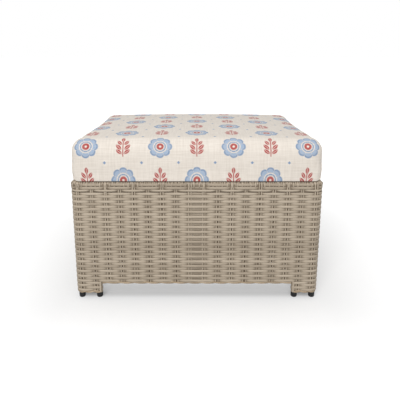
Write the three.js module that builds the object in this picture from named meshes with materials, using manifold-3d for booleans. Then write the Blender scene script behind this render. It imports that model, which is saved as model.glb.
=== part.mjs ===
import * as THREE from "three";
import { mergeVertices } from "three/addons/utils/BufferGeometryUtils.js";
import Module from "manifold-3d";

const wasm = await Module();
wasm.setup();

// A woven outdoor ottoman: a tube frame on push-in glides, wicker walls, and a loose zipped cushion.
// Millimetres, +Z up, the front faces -Y, and the origin is on the floor under the middle.

// Overall sizes of the woven base
const width = 660;
const depth = 500;
const baseHeight = 332;
const cornerRadius = 22;
const legWidth = 73.5;
const legBottom = 18;
const apronBottom = 45.5;

// Clearance between pieces that touch, and how far every cut runs past what it cuts
const gap = 0.3;
const overrun = 2;

// Aluminium tube of the frame
const tubeRadius = 8;
const tubeWall = 1.5;
const deckBarSpacing = 165;

// Wicker: the walls, the rim folded over the top rails, the border under the apron, and the deck
const weaveThickness = 6.5;
const returnThickness = 2.3;
const weaveRelief = 2.6;
const weaveBand = 28.5;
const stakePitch = 36.5;
const rimSkin = 4;
const rimDrop = 24;
const borderThickness = 4.7;
const deckThickness = 5;

// Plate that ties the tubes of a leg together
const plateThickness = 3;
const plateLift = 2;

// Black glide under each tube
const glideRadius = 8.2;
const glideHeight = 17;
const glideEdgeRadius = 4;
const plugLength = 14;

// Cushion
const cushionEdge = 108;
const crownRise = 8;
const cushionCorner = 30;
const topEdgeRadius = 31;
const bottomEdgeRadius = 12;
const tuckUnder = 3;
const sideDrawIn = 4;
const coverWall = 1.6;

// Zip along the middle of the cushion's back
const zipProud = 4.5;
const zipEndInset = 70;
const zipHeight = 58;
const tapeHeight = 8.4;
const teethHeight = 3;
const teethProud = 1.2;
const sliderLength = 12;
const sliderHeight = 8;
const sliderRoof = 2.4;
const pullLength = 22;
const pullWidth = 5;
const pullThickness = 1.4;
const pullEndRadius = 2.5;

// Facet counts
const tubeArcSteps = 6;
const cornerArcSteps = 6;
const wovenArcSteps = 4;
const glideSides = 12;
const glideEdgeSteps = 3;
const cushionCornerSteps = 4;
const cushionSideSteps = 4;
const bottomEdgeSteps = 3;
const sideSteps = 3;
const topEdgeSteps = 4;
const crownShares = [0.8, 0.55, 0.28];

const halfX = width / 2;
const halfY = depth / 2;
const quarterTurn = Math.PI / 2;

// Places that follow from the sizes above
const zipLength = width - 2 * zipEndInset;
const railInset = weaveThickness + gap + tubeRadius;
const returnInset = returnThickness + gap + tubeRadius;
const innerInset = railInset + tubeRadius + gap + rimSkin;
const topRailZ = baseHeight - rimSkin - gap - tubeRadius;
const postTop = topRailZ + tubeRadius;
const apronRailZ = apronBottom + borderThickness + gap + tubeRadius;
const notchTop = apronBottom + borderThickness + gap;
const rimBottom = baseHeight - rimDrop;
const deckTop = baseHeight - rimSkin;
const deckBottom = deckTop - deckThickness;
const postX = halfX - railInset;
const postY = halfY - railInset;
const legTubeX = halfX - legWidth + returnInset;
const legTubeY = halfY - legWidth + returnInset;

const colours = {
  frame: { color: 0x7d7466, roughness: 0.45, metalness: 0.6 },
  wicker: { color: 0xa39685, roughness: 0.65, metalness: 0 },
  glide: { color: 0x17181a, roughness: 0.35, metalness: 0 },
  fabric: { color: 0xe0d8cf, roughness: 0.9, metalness: 0 },
  foam: { color: 0xf2ecd8, roughness: 0.95, metalness: 0 },
  zip: { color: 0xd6cdbf, roughness: 0.6, metalness: 0 },
  slider: { color: 0xb9bbbd, roughness: 0.3, metalness: 0.9 },
};

const ottoman = new THREE.Group();

// Adds one named piece of the ottoman.
function addPiece(name, geometry, colour, x = 0, y = 0, z = 0) {
  const mesh = new THREE.Mesh(geometry, new THREE.MeshStandardMaterial(colours[colour]));
  mesh.name = name;
  mesh.position.set(x, y, z);
  ottoman.add(mesh);
}

// A closed geometry as a solid that can be joined and cut.
function solidOf(geometry) {
  const plain = geometry.index ? geometry.toNonIndexed() : geometry.clone();
  plain.deleteAttribute("normal");
  plain.deleteAttribute("uv");
  const merged = mergeVertices(plain);
  return new wasm.Manifold(
    new wasm.Mesh({
      numProp: 3,
      vertProperties: merged.attributes.position.array,
      triVerts: new Uint32Array(merged.index.array),
    }),
  );
}

// A solid as a flat-shaded geometry.
function geometryOf(solid) {
  const mesh = solid.getMesh();
  const shared = new THREE.BufferGeometry();
  shared.setAttribute("position", new THREE.BufferAttribute(mesh.vertProperties, mesh.numProp));
  shared.setIndex(new THREE.BufferAttribute(mesh.triVerts, 1));
  const flat = shared.toNonIndexed();
  flat.computeVertexNormals();
  return flat;
}

// A shape in plan, raised from one height to another.
function prism(shape, bottom, top, curveSegments = cornerArcSteps) {
  const options = { depth: 1, bevelEnabled: false, curveSegments };
  const raise = new THREE.Matrix4().makeScale(1, 1, top - bottom).setPosition(0, 0, bottom);
  return new THREE.ExtrudeGeometry(shape, options).applyMatrix4(raise);
}

// A box between two corners.
function block(x0, x1, y0, y1, z0, z1) {
  const geometry = new THREE.BoxGeometry(Math.abs(x1 - x0), Math.abs(y1 - y0), z1 - z0);
  return geometry.translate((x0 + x1) / 2, (y0 + y1) / 2, (z0 + z1) / 2);
}

// The base's outline in plan, moved in from its outer faces.
function footprint(inset) {
  const x = halfX - inset;
  const y = halfY - inset;
  const radius = cornerRadius - inset;
  const shape = new THREE.Shape();
  if (radius <= 0) {
    shape.moveTo(x, y).lineTo(-x, y).lineTo(-x, -y).lineTo(x, -y).lineTo(x, y);
    return shape;
  }
  shape.absarc(x - radius, y - radius, radius, 0, quarterTurn);
  shape.absarc(radius - x, y - radius, radius, quarterTurn, 2 * quarterTurn);
  shape.absarc(radius - x, radius - y, radius, 2 * quarterTurn, 3 * quarterTurn);
  shape.absarc(x - radius, radius - y, radius, 3 * quarterTurn, 4 * quarterTurn);
  return shape;
}

// A wall that follows the outline between two insets.
function ring(outerInset, holeInset, bottom, top) {
  const shape = footprint(outerInset);
  shape.holes.push(footprint(holeInset));
  return solidOf(prism(shape, bottom, top));
}

// Half of the straight stretch of each side, from the front round to the left, and the bend between two sides.
const straights = [halfX - cornerRadius, halfY - cornerRadius, halfX - cornerRadius, halfY - cornerRadius];
const bendRadius = cornerRadius - weaveThickness / 2;
const bendLength = bendRadius * quarterTurn;
const wallLength = straights.reduce((sum, half) => sum + 2 * half + bendLength, 0);
const stakeCount = 2 * Math.round(wallLength / stakePitch / 2);
const stakeSpacing = wallLength / stakeCount;

// A point of the base's outline, by its way round the wall from the middle of the front.
function outlinePoint(way, inset) {
  const radius = cornerRadius - inset;
  let side = 0;
  let past = way + straights[0];
  while (past > 2 * straights[side % 4] + bendLength) {
    past -= 2 * straights[side % 4] + bendLength;
    side += 1;
  }
  const half = straights[side % 4];
  const angle = Math.max(past - 2 * half, 0) / bendRadius;
  const along = Math.min(past, 2 * half) - half + radius * Math.sin(angle);
  const out = straights[(side + 1) % 4] + radius * Math.cos(angle);
  return new THREE.Vector2(along, -out).rotateAround(new THREE.Vector2(), side * quarterTurn);
}

// How far the weave lies in: a band passes over one stake and behind the next, and the next band the other way.
function weaveInset(way, band) {
  const place = way / stakeSpacing - 0.5;
  const stake = Math.round(place);
  const share = Math.abs(place - stake);
  return weaveRelief * ((stake + band) % 2 === 0 ? share : 1 - share);
}

// The outline of one band of the weave, with a point at each stake and more round the bends.
function wovenOutline(band) {
  const ways = Array.from({ length: stakeCount }, (_, stake) => (stake + 0.5) * stakeSpacing);
  let bendStart = straights[0];
  for (let side = 0; side < 4; side++) {
    for (let step = 0; step <= wovenArcSteps; step++) {
      ways.push(bendStart + (bendLength * step) / wovenArcSteps);
    }
    bendStart += bendLength + 2 * straights[(side + 1) % 4];
  }
  ways.sort((a, b) => a - b);
  return new THREE.Shape(ways.map((way) => outlinePoint(way, weaveInset(way, band))));
}

// The woven wall all round, in level bands.
function wovenRing(bottom, top) {
  const count = Math.round((top - bottom) / weaveBand);
  const bands = Array.from({ length: count }, (_, band) => {
    const shape = wovenOutline(band);
    shape.holes.push(footprint(weaveThickness));
    const low = bottom + ((top - bottom) * band) / count;
    const high = bottom + ((top - bottom) * (band + 1)) / count;
    return solidOf(prism(shape, low, high));
  });
  return bands.reduce((all, band) => all.add(band));
}

// A round bar that stands on the XY plane.
function roundBar(radius, length) {
  const shape = new THREE.Shape();
  shape.absarc(0, 0, radius, 0, 4 * quarterTurn);
  return prism(shape, 0, length, tubeArcSteps);
}

// A length of frame tube that stands on the XY plane, open at both ends.
function frameTube(length) {
  const shape = new THREE.Shape();
  shape.absarc(0, 0, tubeRadius, 0, 4 * quarterTurn);
  const bore = new THREE.Path();
  bore.absarc(0, 0, tubeRadius - tubeWall, 0, 4 * quarterTurn);
  shape.holes.push(bore);
  return prism(shape, 0, length, tubeArcSteps);
}

// The room that an upright tube needs, from below the leg to the given height.
function tubeRoom(x, y, top) {
  const bottom = legBottom - overrun;
  return solidOf(roundBar(tubeRadius + gap, top - bottom).translate(x, y, bottom));
}

// The part of the base that belongs to one side, cut off at the mitred corners.
function sideWedge(axis, sign) {
  const reach = legWidth;
  const shift = gap * Math.SQRT1_2;
  const along = axis === "y" ? halfX : halfY;
  const across = axis === "y" ? halfY : halfX;
  const points = [
    [-along - overrun, across + overrun + shift],
    [along + overrun, across + overrun + shift],
    [along - reach, across - reach + shift],
    [reach - along, across - reach + shift],
  ];
  const placed = points.map(([a, b]) =>
    axis === "y" ? new THREE.Vector2(a, b * sign) : new THREE.Vector2(b * sign, a),
  );
  return solidOf(prism(new THREE.Shape(placed), 0, baseHeight + overrun));
}

const corners = [
  { name: "front_left", x: -1, y: -1 },
  { name: "front_right", x: 1, y: -1 },
  { name: "back_left", x: -1, y: 1 },
  { name: "back_right", x: 1, y: 1 },
];

const sides = [
  { name: "front", axis: "y", sign: -1 },
  { name: "back", axis: "y", sign: 1 },
  { name: "left", axis: "x", sign: -1 },
  { name: "right", axis: "x", sign: 1 },
];

// The three tubes of a leg: one in the corner, one along the front or back, one along the side.
function legTubes(corner) {
  return [
    { kind: "corner_post", glide: "corner_glide", x: corner.x * postX, y: corner.y * postY, top: postTop },
    {
      kind: "leg_tube",
      glide: "leg_glide",
      x: corner.x * legTubeX,
      y: corner.y * postY,
      top: topRailZ - tubeRadius - gap,
    },
    {
      kind: "side_leg_tube",
      glide: "side_leg_glide",
      x: corner.x * postX,
      y: corner.y * legTubeY,
      top: topRailZ - tubeRadius - gap,
    },
  ];
}

// Posts and leg tubes, which stand on the glides.
function addUprightTubes() {
  const bottom = glideHeight + gap;
  for (const corner of corners) {
    for (const tube of legTubes(corner)) {
      const geometry = frameTube(tube.top - bottom);
      addPiece(`${tube.kind}_${corner.name}`, geometry, "frame", tube.x, tube.y, bottom);
    }
  }
  const middleBottom = apronRailZ + tubeRadius + gap;
  const middleTop = topRailZ - tubeRadius - gap;
  for (const side of sides.filter(({ axis }) => axis === "y")) {
    const tube = frameTube(middleTop - middleBottom);
    addPiece(`middle_upright_${side.name}`, tube, "frame", 0, side.sign * postY, middleBottom);
  }
}

// A level rail along one side, between the two uprights that carry it.
function addRail(name, side, halfLength, z) {
  const geometry = frameTube(2 * halfLength).translate(0, 0, -halfLength);
  if (side.axis === "y") {
    addPiece(name, geometry.rotateY(quarterTurn), "frame", 0, side.sign * postY, z);
  } else {
    addPiece(name, geometry.rotateX(quarterTurn), "frame", side.sign * postX, 0, z);
  }
}

// Top rails between the posts, apron rails between the leg tubes, and the bars under the deck.
function addRails() {
  const butt = tubeRadius + gap;
  for (const side of sides) {
    const alongX = side.axis === "y";
    addRail(`top_rail_${side.name}`, side, (alongX ? postX : postY) - butt, topRailZ);
    addRail(`apron_rail_${side.name}`, side, (alongX ? legTubeX : legTubeY) - butt, apronRailZ);
  }
  const barZ = deckBottom - gap - tubeRadius;
  const names = ["left", "middle", "right"];
  names.forEach((name, index) => {
    const bar = frameTube(2 * (postY - butt)).translate(0, 0, butt - postY);
    addPiece(`deck_bar_${name}`, bar.rotateX(quarterTurn), "frame", (index - 1) * deckBarSpacing, 0, barZ);
  });
}

// A plate inside each leg, notched round its three tubes.
function addLegPlates() {
  const end = weaveThickness + gap;
  const z = legBottom + plateLift;
  for (const corner of corners) {
    const points = [
      [postX, postY],
      [halfX - legWidth + end, postY],
      [halfX - legWidth + end, halfY - innerInset],
      [halfX - innerInset, halfY - innerInset],
      [halfX - innerInset, halfY - legWidth + end],
      [postX, halfY - legWidth + end],
    ];
    const placed = points.map(([x, y]) => new THREE.Vector2(corner.x * x, corner.y * y));
    let plate = solidOf(prism(new THREE.Shape(placed), z, z + plateThickness));
    for (const tube of legTubes(corner)) plate = plate.subtract(tubeRoom(tube.x, tube.y, tube.top));
    addPiece(`leg_plate_${corner.name}`, geometryOf(plate), "frame");
  }
}

// A glide: a domed foot with a plug that goes up into the tube.
function glideGeometry() {
  const plugRadius = tubeRadius - tubeWall - gap;
  const profile = [new THREE.Vector2(0, 0)];
  for (let step = 0; step <= glideEdgeSteps; step += 1) {
    const angle = (quarterTurn * step) / glideEdgeSteps;
    const x = glideRadius - glideEdgeRadius * (1 - Math.sin(angle));
    profile.push(new THREE.Vector2(x, glideEdgeRadius * (1 - Math.cos(angle))));
  }
  profile.push(new THREE.Vector2(glideRadius, glideHeight));
  profile.push(new THREE.Vector2(plugRadius, glideHeight));
  profile.push(new THREE.Vector2(plugRadius, glideHeight + plugLength));
  profile.push(new THREE.Vector2(0, glideHeight + plugLength));
  return new THREE.LatheGeometry(profile, glideSides).rotateX(quarterTurn);
}

function addGlides() {
  for (const corner of corners) {
    for (const tube of legTubes(corner)) {
      addPiece(`${tube.glide}_${corner.name}`, glideGeometry(), "glide", tube.x, tube.y);
    }
  }
}

// The room that the four posts need inside the wicker.
function postRoom() {
  const rooms = corners.map((corner) => tubeRoom(corner.x * postX, corner.y * postY, postTop + gap));
  return rooms.reduce((all, room) => all.add(room));
}

// Woven walls, one per side, notched between the legs and returned along the legs' inner edges.
function addWalls() {
  const legX = halfX - legWidth;
  const legY = halfY - legWidth;
  const low = legBottom - overrun;
  let wall = wovenRing(legBottom, rimBottom - gap);
  wall = wall.subtract(solidOf(block(-legX, legX, -halfY - overrun, halfY + overrun, low, notchTop)));
  wall = wall.subtract(solidOf(block(-halfX - overrun, halfX + overrun, -legY, legY, low, notchTop)));
  const returnTop = notchTop - gap;
  const root = weaveThickness / 2;
  const returnX = legX + returnThickness;
  const returnY = legY + returnThickness;
  for (const { x, y } of corners) {
    const alongFront = [x * legX, x * returnX, y * (halfY - innerInset), y * (halfY - root)];
    const alongSide = [x * (halfX - innerInset), x * (halfX - root), y * legY, y * returnY];
    wall = wall.add(solidOf(block(...alongFront, legBottom, returnTop)));
    wall = wall.add(solidOf(block(...alongSide, legBottom, returnTop)));
  }
  wall = wall.subtract(postRoom());
  for (const side of sides) {
    const panel = wall.intersect(sideWedge(side.axis, side.sign));
    addPiece(`wicker_wall_${side.name}`, geometryOf(panel), "wicker");
  }
}

// The rim, which folds over the top rails and down their inner side.
function addRim() {
  let rim = ring(0, weaveThickness, rimBottom, baseHeight);
  rim = rim.add(ring(0, innerInset, baseHeight - rimSkin, baseHeight));
  rim = rim.add(ring(innerInset - rimSkin, innerInset, deckBottom, baseHeight));
  rim = rim.subtract(postRoom());
  for (const side of sides) {
    const strip = rim.intersect(sideWedge(side.axis, side.sign));
    addPiece(`wicker_rim_${side.name}`, geometryOf(strip), "wicker");
  }
}

// The border that closes the apron under its rail, between the legs.
function addBorders() {
  const top = apronBottom + borderThickness;
  const reachX = halfX - legWidth - gap;
  const reachY = halfY - legWidth - gap;
  for (const { name, axis, sign } of sides) {
    const geometry =
      axis === "y"
        ? block(-reachX, reachX, sign * (halfY - innerInset), sign * halfY, apronBottom, top)
        : block(sign * (halfX - innerInset), sign * halfX, -reachY, reachY, apronBottom, top);
    addPiece(`apron_border_${name}`, geometry, "wicker");
  }
}

// The woven deck that lies on the bars inside the rim.
function addDeck() {
  const x = halfX - innerInset - gap;
  const y = halfY - innerInset - gap;
  addPiece("woven_deck", block(-x, x, -y, y, deckBottom, deckTop), "wicker");
}

// The cushion's box is a little shallower than the base, which leaves room for the zip behind it.
const cushionBottom = baseHeight + gap;
const cushionBack = halfY - zipProud;
const cushionHalfY = (halfY + cushionBack) / 2;
const cushionMiddleY = (cushionBack - halfY) / 2;

// The cushion's section, from its bottom edge up to where the crown starts, as [inset, height].
function cushionSection(shrink) {
  const height = cushionEdge - 2 * shrink;
  const lower = bottomEdgeRadius - shrink;
  const upper = topEdgeRadius - shrink;
  const crownStart = quarterTurn - Math.atan((2 * crownRise) / cushionHalfY);
  const rise = height - upper * Math.sin(crownStart);
  const section = [];
  for (let step = 0; step <= bottomEdgeSteps; step += 1) {
    const angle = (quarterTurn * step) / bottomEdgeSteps;
    section.push([tuckUnder + lower * (1 - Math.sin(angle)), lower * (1 - Math.cos(angle))]);
  }
  for (let step = 1; step < sideSteps; step += 1) {
    const share = step / sideSteps;
    section.push([tuckUnder * (1 - Math.sin(quarterTurn * share)), lower + (rise - lower) * share]);
  }
  for (let step = 0; step <= topEdgeSteps; step += 1) {
    const angle = (crownStart * step) / topEdgeSteps;
    section.push([upper * (1 - Math.cos(angle)), rise + upper * Math.sin(angle)]);
  }
  return section;
}

// The cushion's outline in plan at an inset, drawn in along the front and the sides.
function cushionOutline(inset, shrink) {
  const x = halfX - shrink - inset;
  const y = cushionHalfY - shrink - inset;
  const radius = cushionCorner - shrink - inset * (cushionCorner / cushionHalfY);
  const starts = [
    [x - radius, y - radius],
    [radius - x, y - radius],
    [radius - x, radius - y],
    [x - radius, radius - y],
  ];
  const points = [];
  starts.forEach(([centreX, centreY], corner) => {
    for (let step = 0; step <= cushionCornerSteps; step += 1) {
      const angle = quarterTurn * (corner + step / cushionCornerSteps);
      points.push([centreX + radius * Math.cos(angle), centreY + radius * Math.sin(angle)]);
    }
    const [nextX, nextY] = starts[(corner + 1) % starts.length];
    const turn = quarterTurn * (corner + 1);
    const from = [centreX + radius * Math.cos(turn), centreY + radius * Math.sin(turn)];
    const to = [nextX + radius * Math.cos(turn), nextY + radius * Math.sin(turn)];
    for (let step = 1; step < cushionSideSteps; step += 1) {
      const share = step / cushionSideSteps;
      points.push([from[0] + (to[0] - from[0]) * share, from[1] + (to[1] - from[1]) * share]);
    }
  });
  return points.map(([px, py]) => {
    const drawX = sideDrawIn * (1 - (py / y) ** 2) * (px / x);
    const drawY = py < 0 ? sideDrawIn * (1 - (px / x) ** 2) * (py / y) : 0;
    return [px - drawX, py - drawY];
  });
}

// The crowned cushion form, made smaller on every side by the given amount.
function cushionForm(shrink) {
  const section = cushionSection(shrink);
  const rings = section.map(([inset, height]) =>
    cushionOutline(inset, shrink).map(([x, y]) => [x, y, height]),
  );
  const edge = rings[rings.length - 1];
  for (const share of crownShares) {
    rings.push(edge.map(([x, y, z]) => [x * share, y * share, z + crownRise * (1 - share ** 2)]));
  }
  const count = edge.length;
  const bottom = cushionBottom + shrink;
  const positions = rings.flat().map(([x, y, z]) => [x, y + cushionMiddleY, z + bottom]);
  const bottomCentre = positions.push([0, cushionMiddleY, bottom]) - 1;
  const topCentre = positions.push([0, cushionMiddleY, edge[0][2] + crownRise + bottom]) - 1;
  const index = [];
  for (let side = 0; side < count; side += 1) {
    const next = (side + 1) % count;
    index.push(bottomCentre, next, side);
    for (let level = 0; level + 1 < rings.length; level += 1) {
      const low = level * count;
      const high = low + count;
      index.push(low + side, low + next, high + next, low + side, high + next, high + side);
    }
    const last = (rings.length - 1) * count;
    index.push(topCentre, last + side, last + next);
  }
  const geometry = new THREE.BufferGeometry();
  geometry.setAttribute("position", new THREE.Float32BufferAttribute(positions.flat(), 3));
  geometry.setIndex(index);
  geometry.computeVertexNormals();
  return geometry;
}

const zipZ = cushionBottom + zipHeight;

// The cover, with a slot in its back for the zip, and the foam inside it.
function addCushion() {
  const half = zipLength / 2;
  const rise = tapeHeight / 2 + gap;
  const slotInner = cushionBack - coverWall - overrun;
  const slot = block(-half, half, slotInner, cushionBack + overrun, zipZ - rise, zipZ + rise);
  const shell = solidOf(cushionForm(0)).subtract(solidOf(cushionForm(coverWall)));
  addPiece("cushion_cover", geometryOf(shell.subtract(solidOf(slot))), "fabric");
  addPiece("cushion_foam", cushionForm(coverWall + gap), "foam");
}

// The zip: a tape that fills the slot, with its row of teeth standing proud.
function addZip() {
  const half = zipLength / 2 - gap;
  const inner = cushionBack - coverWall;
  const root = cushionBack - coverWall / 2;
  const tapeRise = tapeHeight / 2;
  const teethRise = teethHeight / 2;
  const tape = block(-half, half, inner, cushionBack, zipZ - tapeRise, zipZ + tapeRise);
  const teeth = block(-half, half, root, cushionBack + teethProud, zipZ - teethRise, zipZ + teethRise);
  addPiece("zip_tape", geometryOf(solidOf(tape).add(solidOf(teeth))), "zip");
}

// The slider, which straddles the teeth at the closed end, with its pull hanging down.
function addSlider() {
  const start = -zipLength / 2 + gap;
  const end = start + sliderLength;
  const inner = cushionBack + gap;
  const roof = cushionBack + teethProud + gap;
  const outer = roof + sliderRoof;
  const half = sliderHeight / 2;
  const rise = teethHeight / 2 + gap;
  const body = solidOf(block(start, end, inner, outer, zipZ - half, zipZ + half));
  const channel = block(start - overrun, end + overrun, inner - overrun, roof, zipZ - rise, zipZ + rise);
  const pullX = (start + end) / 2;
  const pullShape = new THREE.Shape();
  const flat = pullLength - pullEndRadius;
  pullShape.moveTo(pullWidth / 2, half).lineTo(-pullWidth / 2, half).lineTo(-pullWidth / 2, -flat);
  pullShape.absarc(0, -flat, pullEndRadius, 2 * quarterTurn, 4 * quarterTurn);
  pullShape.lineTo(pullWidth / 2, half);
  const pull = prism(pullShape, 0, pullThickness).rotateX(quarterTurn).translate(pullX, outer, zipZ);
  addPiece("zip_slider", geometryOf(body.subtract(solidOf(channel)).add(solidOf(pull))), "slider");
}

addUprightTubes();
addRails();
addLegPlates();
addGlides();
addWalls();
addRim();
addBorders();
addDeck();
addCushion();
addZip();
addSlider();

export default ottoman;
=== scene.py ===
import math
import random

import bmesh
import bpy
import numpy as np
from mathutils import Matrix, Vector


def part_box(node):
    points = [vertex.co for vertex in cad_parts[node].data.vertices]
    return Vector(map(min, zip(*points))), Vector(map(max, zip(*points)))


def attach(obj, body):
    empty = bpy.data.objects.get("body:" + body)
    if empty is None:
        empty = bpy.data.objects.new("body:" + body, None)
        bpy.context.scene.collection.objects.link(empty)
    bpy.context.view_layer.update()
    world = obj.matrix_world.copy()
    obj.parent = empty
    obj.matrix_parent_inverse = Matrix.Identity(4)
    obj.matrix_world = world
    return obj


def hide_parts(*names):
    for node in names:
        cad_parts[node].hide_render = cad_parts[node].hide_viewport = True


# An outdoor ottoman: a base of woven resin strand on a tube frame, black glides,
# and a printed box cushion with a zip.
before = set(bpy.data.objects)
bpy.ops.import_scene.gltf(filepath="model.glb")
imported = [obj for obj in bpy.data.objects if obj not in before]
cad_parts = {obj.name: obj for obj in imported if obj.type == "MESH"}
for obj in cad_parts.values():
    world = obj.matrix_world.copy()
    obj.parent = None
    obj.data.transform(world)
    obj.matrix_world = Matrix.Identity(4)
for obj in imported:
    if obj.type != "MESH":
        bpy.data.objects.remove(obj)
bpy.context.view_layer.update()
mm = 0.001
sceneCollection = bpy.context.scene.collection


# Small helpers for node trees, used by the Geometry Nodes and by the materials

def newTree(name, kind, inputs, outputs):
    tree = bpy.data.node_groups.new(name, kind)
    for label, socket in inputs:
        tree.interface.new_socket(label, in_out="INPUT", socket_type="NodeSocket" + socket)
    for label, socket in outputs:
        tree.interface.new_socket(label, in_out="OUTPUT", socket_type="NodeSocket" + socket)
    return tree, tree.nodes.new("NodeGroupInput").outputs, tree.nodes.new("NodeGroupOutput").inputs


def floats(*labels):
    return [(label, "Float") for label in labels]


def fill(tree, node, values):
    # a socket is linked, anything else becomes the input's own value
    for key, value in values.items():
        if isinstance(value, bpy.types.NodeSocket):
            tree.links.new(value, node.inputs[key])
        else:
            node.inputs[key].default_value = value


def add(tree, kind, values=None, **settings):
    node = tree.nodes.new(kind)
    for key, value in settings.items():
        setattr(node, key, value)
    fill(tree, node, values or {})
    return node


def calc(tree, operation, *values):
    return add(tree, "ShaderNodeMath", dict(enumerate(values)), operation=operation).outputs[0]


def chain(tree, operation, values):
    total = values[0]
    for value in values[1:]:
        total = calc(tree, operation, total, value)
    return total


def plus(tree, *values):
    return chain(tree, "ADD", values)


def times(tree, *values):
    return chain(tree, "MULTIPLY", values)


def largest(tree, *values):
    return chain(tree, "MAXIMUM", values)


def minus(tree, first, second):
    return calc(tree, "SUBTRACT", first, second)


def oneMinus(tree, value):
    return calc(tree, "SUBTRACT", 1.0, value)


def divide(tree, first, second):
    return calc(tree, "DIVIDE", first, second)


def absolute(tree, value):
    return calc(tree, "ABSOLUTE", value)


def between(tree, share, low, high):
    return plus(tree, times(tree, share, high - low), low)


def combine(tree, operation, *values):
    return add(tree, "ShaderNodeVectorMath", dict(enumerate(values)), operation=operation).outputs[0]


def addUp(tree, *vectors):
    total = vectors[0]
    for vector in vectors[1:]:
        total = combine(tree, "ADD", total, vector)
    return total


def scaled(tree, vector, factor):
    return add(tree, "ShaderNodeVectorMath", {0: vector, "Scale": factor}, operation="SCALE").outputs[0]


def readValue(tree, name, kind="FLOAT"):
    return add(tree, "GeometryNodeInputNamedAttribute", {"Name": name}, data_type=kind).outputs[0]


def keepValue(tree, geometry, name, value, kind="FLOAT"):
    values = {"Geometry": geometry, "Name": name, "Value": value}
    return add(tree, "GeometryNodeStoreNamedAttribute", values, data_type=kind, domain="POINT").outputs[0]


def partsOf(tree, vector):
    return add(tree, "ShaderNodeSeparateXYZ", {0: vector}).outputs


def noiseOf(tree, vector, scale, detail=2.0, roughness=0.5):
    values = {"Vector": vector, "Scale": scale, "Detail": detail, "Roughness": roughness}
    return add(tree, "ShaderNodeTexNoise", values).outputs


def wander(tree, place, scale, reach):
    # a soft random shift of a place
    noise = noiseOf(tree, place, scale, 1.0)["Color"]
    return scaled(tree, combine(tree, "SUBTRACT", noise, (0.5, 0.5, 0.5)), reach)


# Strand: what every woven piece is made of. A strand's section is a flattened oval.

strandSection = {"points": 10, "widthPower": 0.5, "thicknessPower": 0.75, "sharpAngle": math.radians(60)}


def signedPower(tree, value, power):
    size = calc(tree, "POWER", absolute(tree, value), power)
    return times(tree, size, calc(tree, "SIGN", value))


def strandTree():
    inputs = [("Curve", "Geometry"), ("Width", "Float"), ("Thickness", "Float"), ("Material", "Material")]
    tree, given, result = newTree("strandAlongCurve", "GeometryNodeTree", inputs, [("Mesh", "Geometry")])
    values = {"Resolution": strandSection["points"], "Radius": 1.0}
    ring = add(tree, "GeometryNodeCurvePrimitiveCircle", values)
    place = partsOf(tree, add(tree, "GeometryNodeInputPosition").outputs[0])
    section = keepValue(tree, ring.outputs[0], "across", place["Y"])
    through = signedPower(tree, place["X"], strandSection["thicknessPower"])
    over = signedPower(tree, place["Y"], strandSection["widthPower"])
    halfThrough = times(tree, given["Thickness"], 0.5)
    halfOver = times(tree, given["Width"], 0.5)
    spot = add(tree, "ShaderNodeCombineXYZ", {
        "X": times(tree, through, halfThrough),
        "Y": times(tree, over, halfOver),
    })
    section = add(tree, "GeometryNodeSetPosition", {"Geometry": section, "Position": spot.outputs[0]})
    values = {"Curve": given["Curve"], "Profile Curve": section.outputs[0], "Fill Caps": True}
    mesh = add(tree, "GeometryNodeCurveToMesh", values).outputs[0]
    mesh = add(tree, "GeometryNodeSetShadeSmooth", {0: mesh, "Shade Smooth": True}, domain="FACE").outputs[0]
    angle = add(tree, "GeometryNodeInputMeshEdgeAngle").outputs[0]
    sharp = calc(tree, "GREATER_THAN", angle, strandSection["sharpAngle"])
    values = {0: mesh, "Selection": sharp, "Shade Smooth": False}
    mesh = add(tree, "GeometryNodeSetShadeSmooth", values, domain="EDGE").outputs[0]
    mesh = add(tree, "GeometryNodeSetMaterial", {"Geometry": mesh, "Material": given["Material"]}).outputs[0]
    tree.links.new(mesh, result[0])
    return tree


strandAlongCurve = strandTree()


strandInputs = floats("Width", "Thickness", "Wobble", "Wobble scale", "Segment")
strandInputs += [("Seed", "Int"), ("Material", "Material")]


def evenCurve(tree, given):
    curve = add(tree, "GeometryNodeMeshToCurve", {0: given["Path"]}).outputs[0]
    values = {"Curve": curve, "Length": given["Segment"]}
    return add(tree, "GeometryNodeResampleCurve", values, mode="LENGTH").outputs[0]


def keepMarks(tree, given, curve, along, number):
    # what the material reads: the place along a strand, and a tone of its own for each strand
    values = {2: 0.0, 3: 1.0, "ID": number, "Seed": given["Seed"]}
    tone = add(tree, "FunctionNodeRandomValue", values, data_type="FLOAT").outputs[1]
    return keepValue(tree, keepValue(tree, curve, "along", along), "tone", tone)


def finishStrands(tree, given, curve):
    outward = readValue(tree, "outward", "FLOAT_VECTOR")
    values = {"Curve": curve, "Normal": outward}
    curve = add(tree, "GeometryNodeSetCurveNormal", values, mode="FREE").outputs[0]
    values = {key: given[key] for key in ("Width", "Thickness", "Material")}
    group = add(tree, "GeometryNodeGroup", {"Curve": curve, **values}, node_tree=strandAlongCurve)
    return add(tree, "GeometryNodeRealizeInstances", {"Geometry": group.outputs[0]}).outputs[0]


# Rows that copy one path: the weavers of a wall, the fillers of the rim, a twisted pair, the deck's strands.
# The path carries its outward direction and its run, the distance along the wall from the middle of the side.

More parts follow.
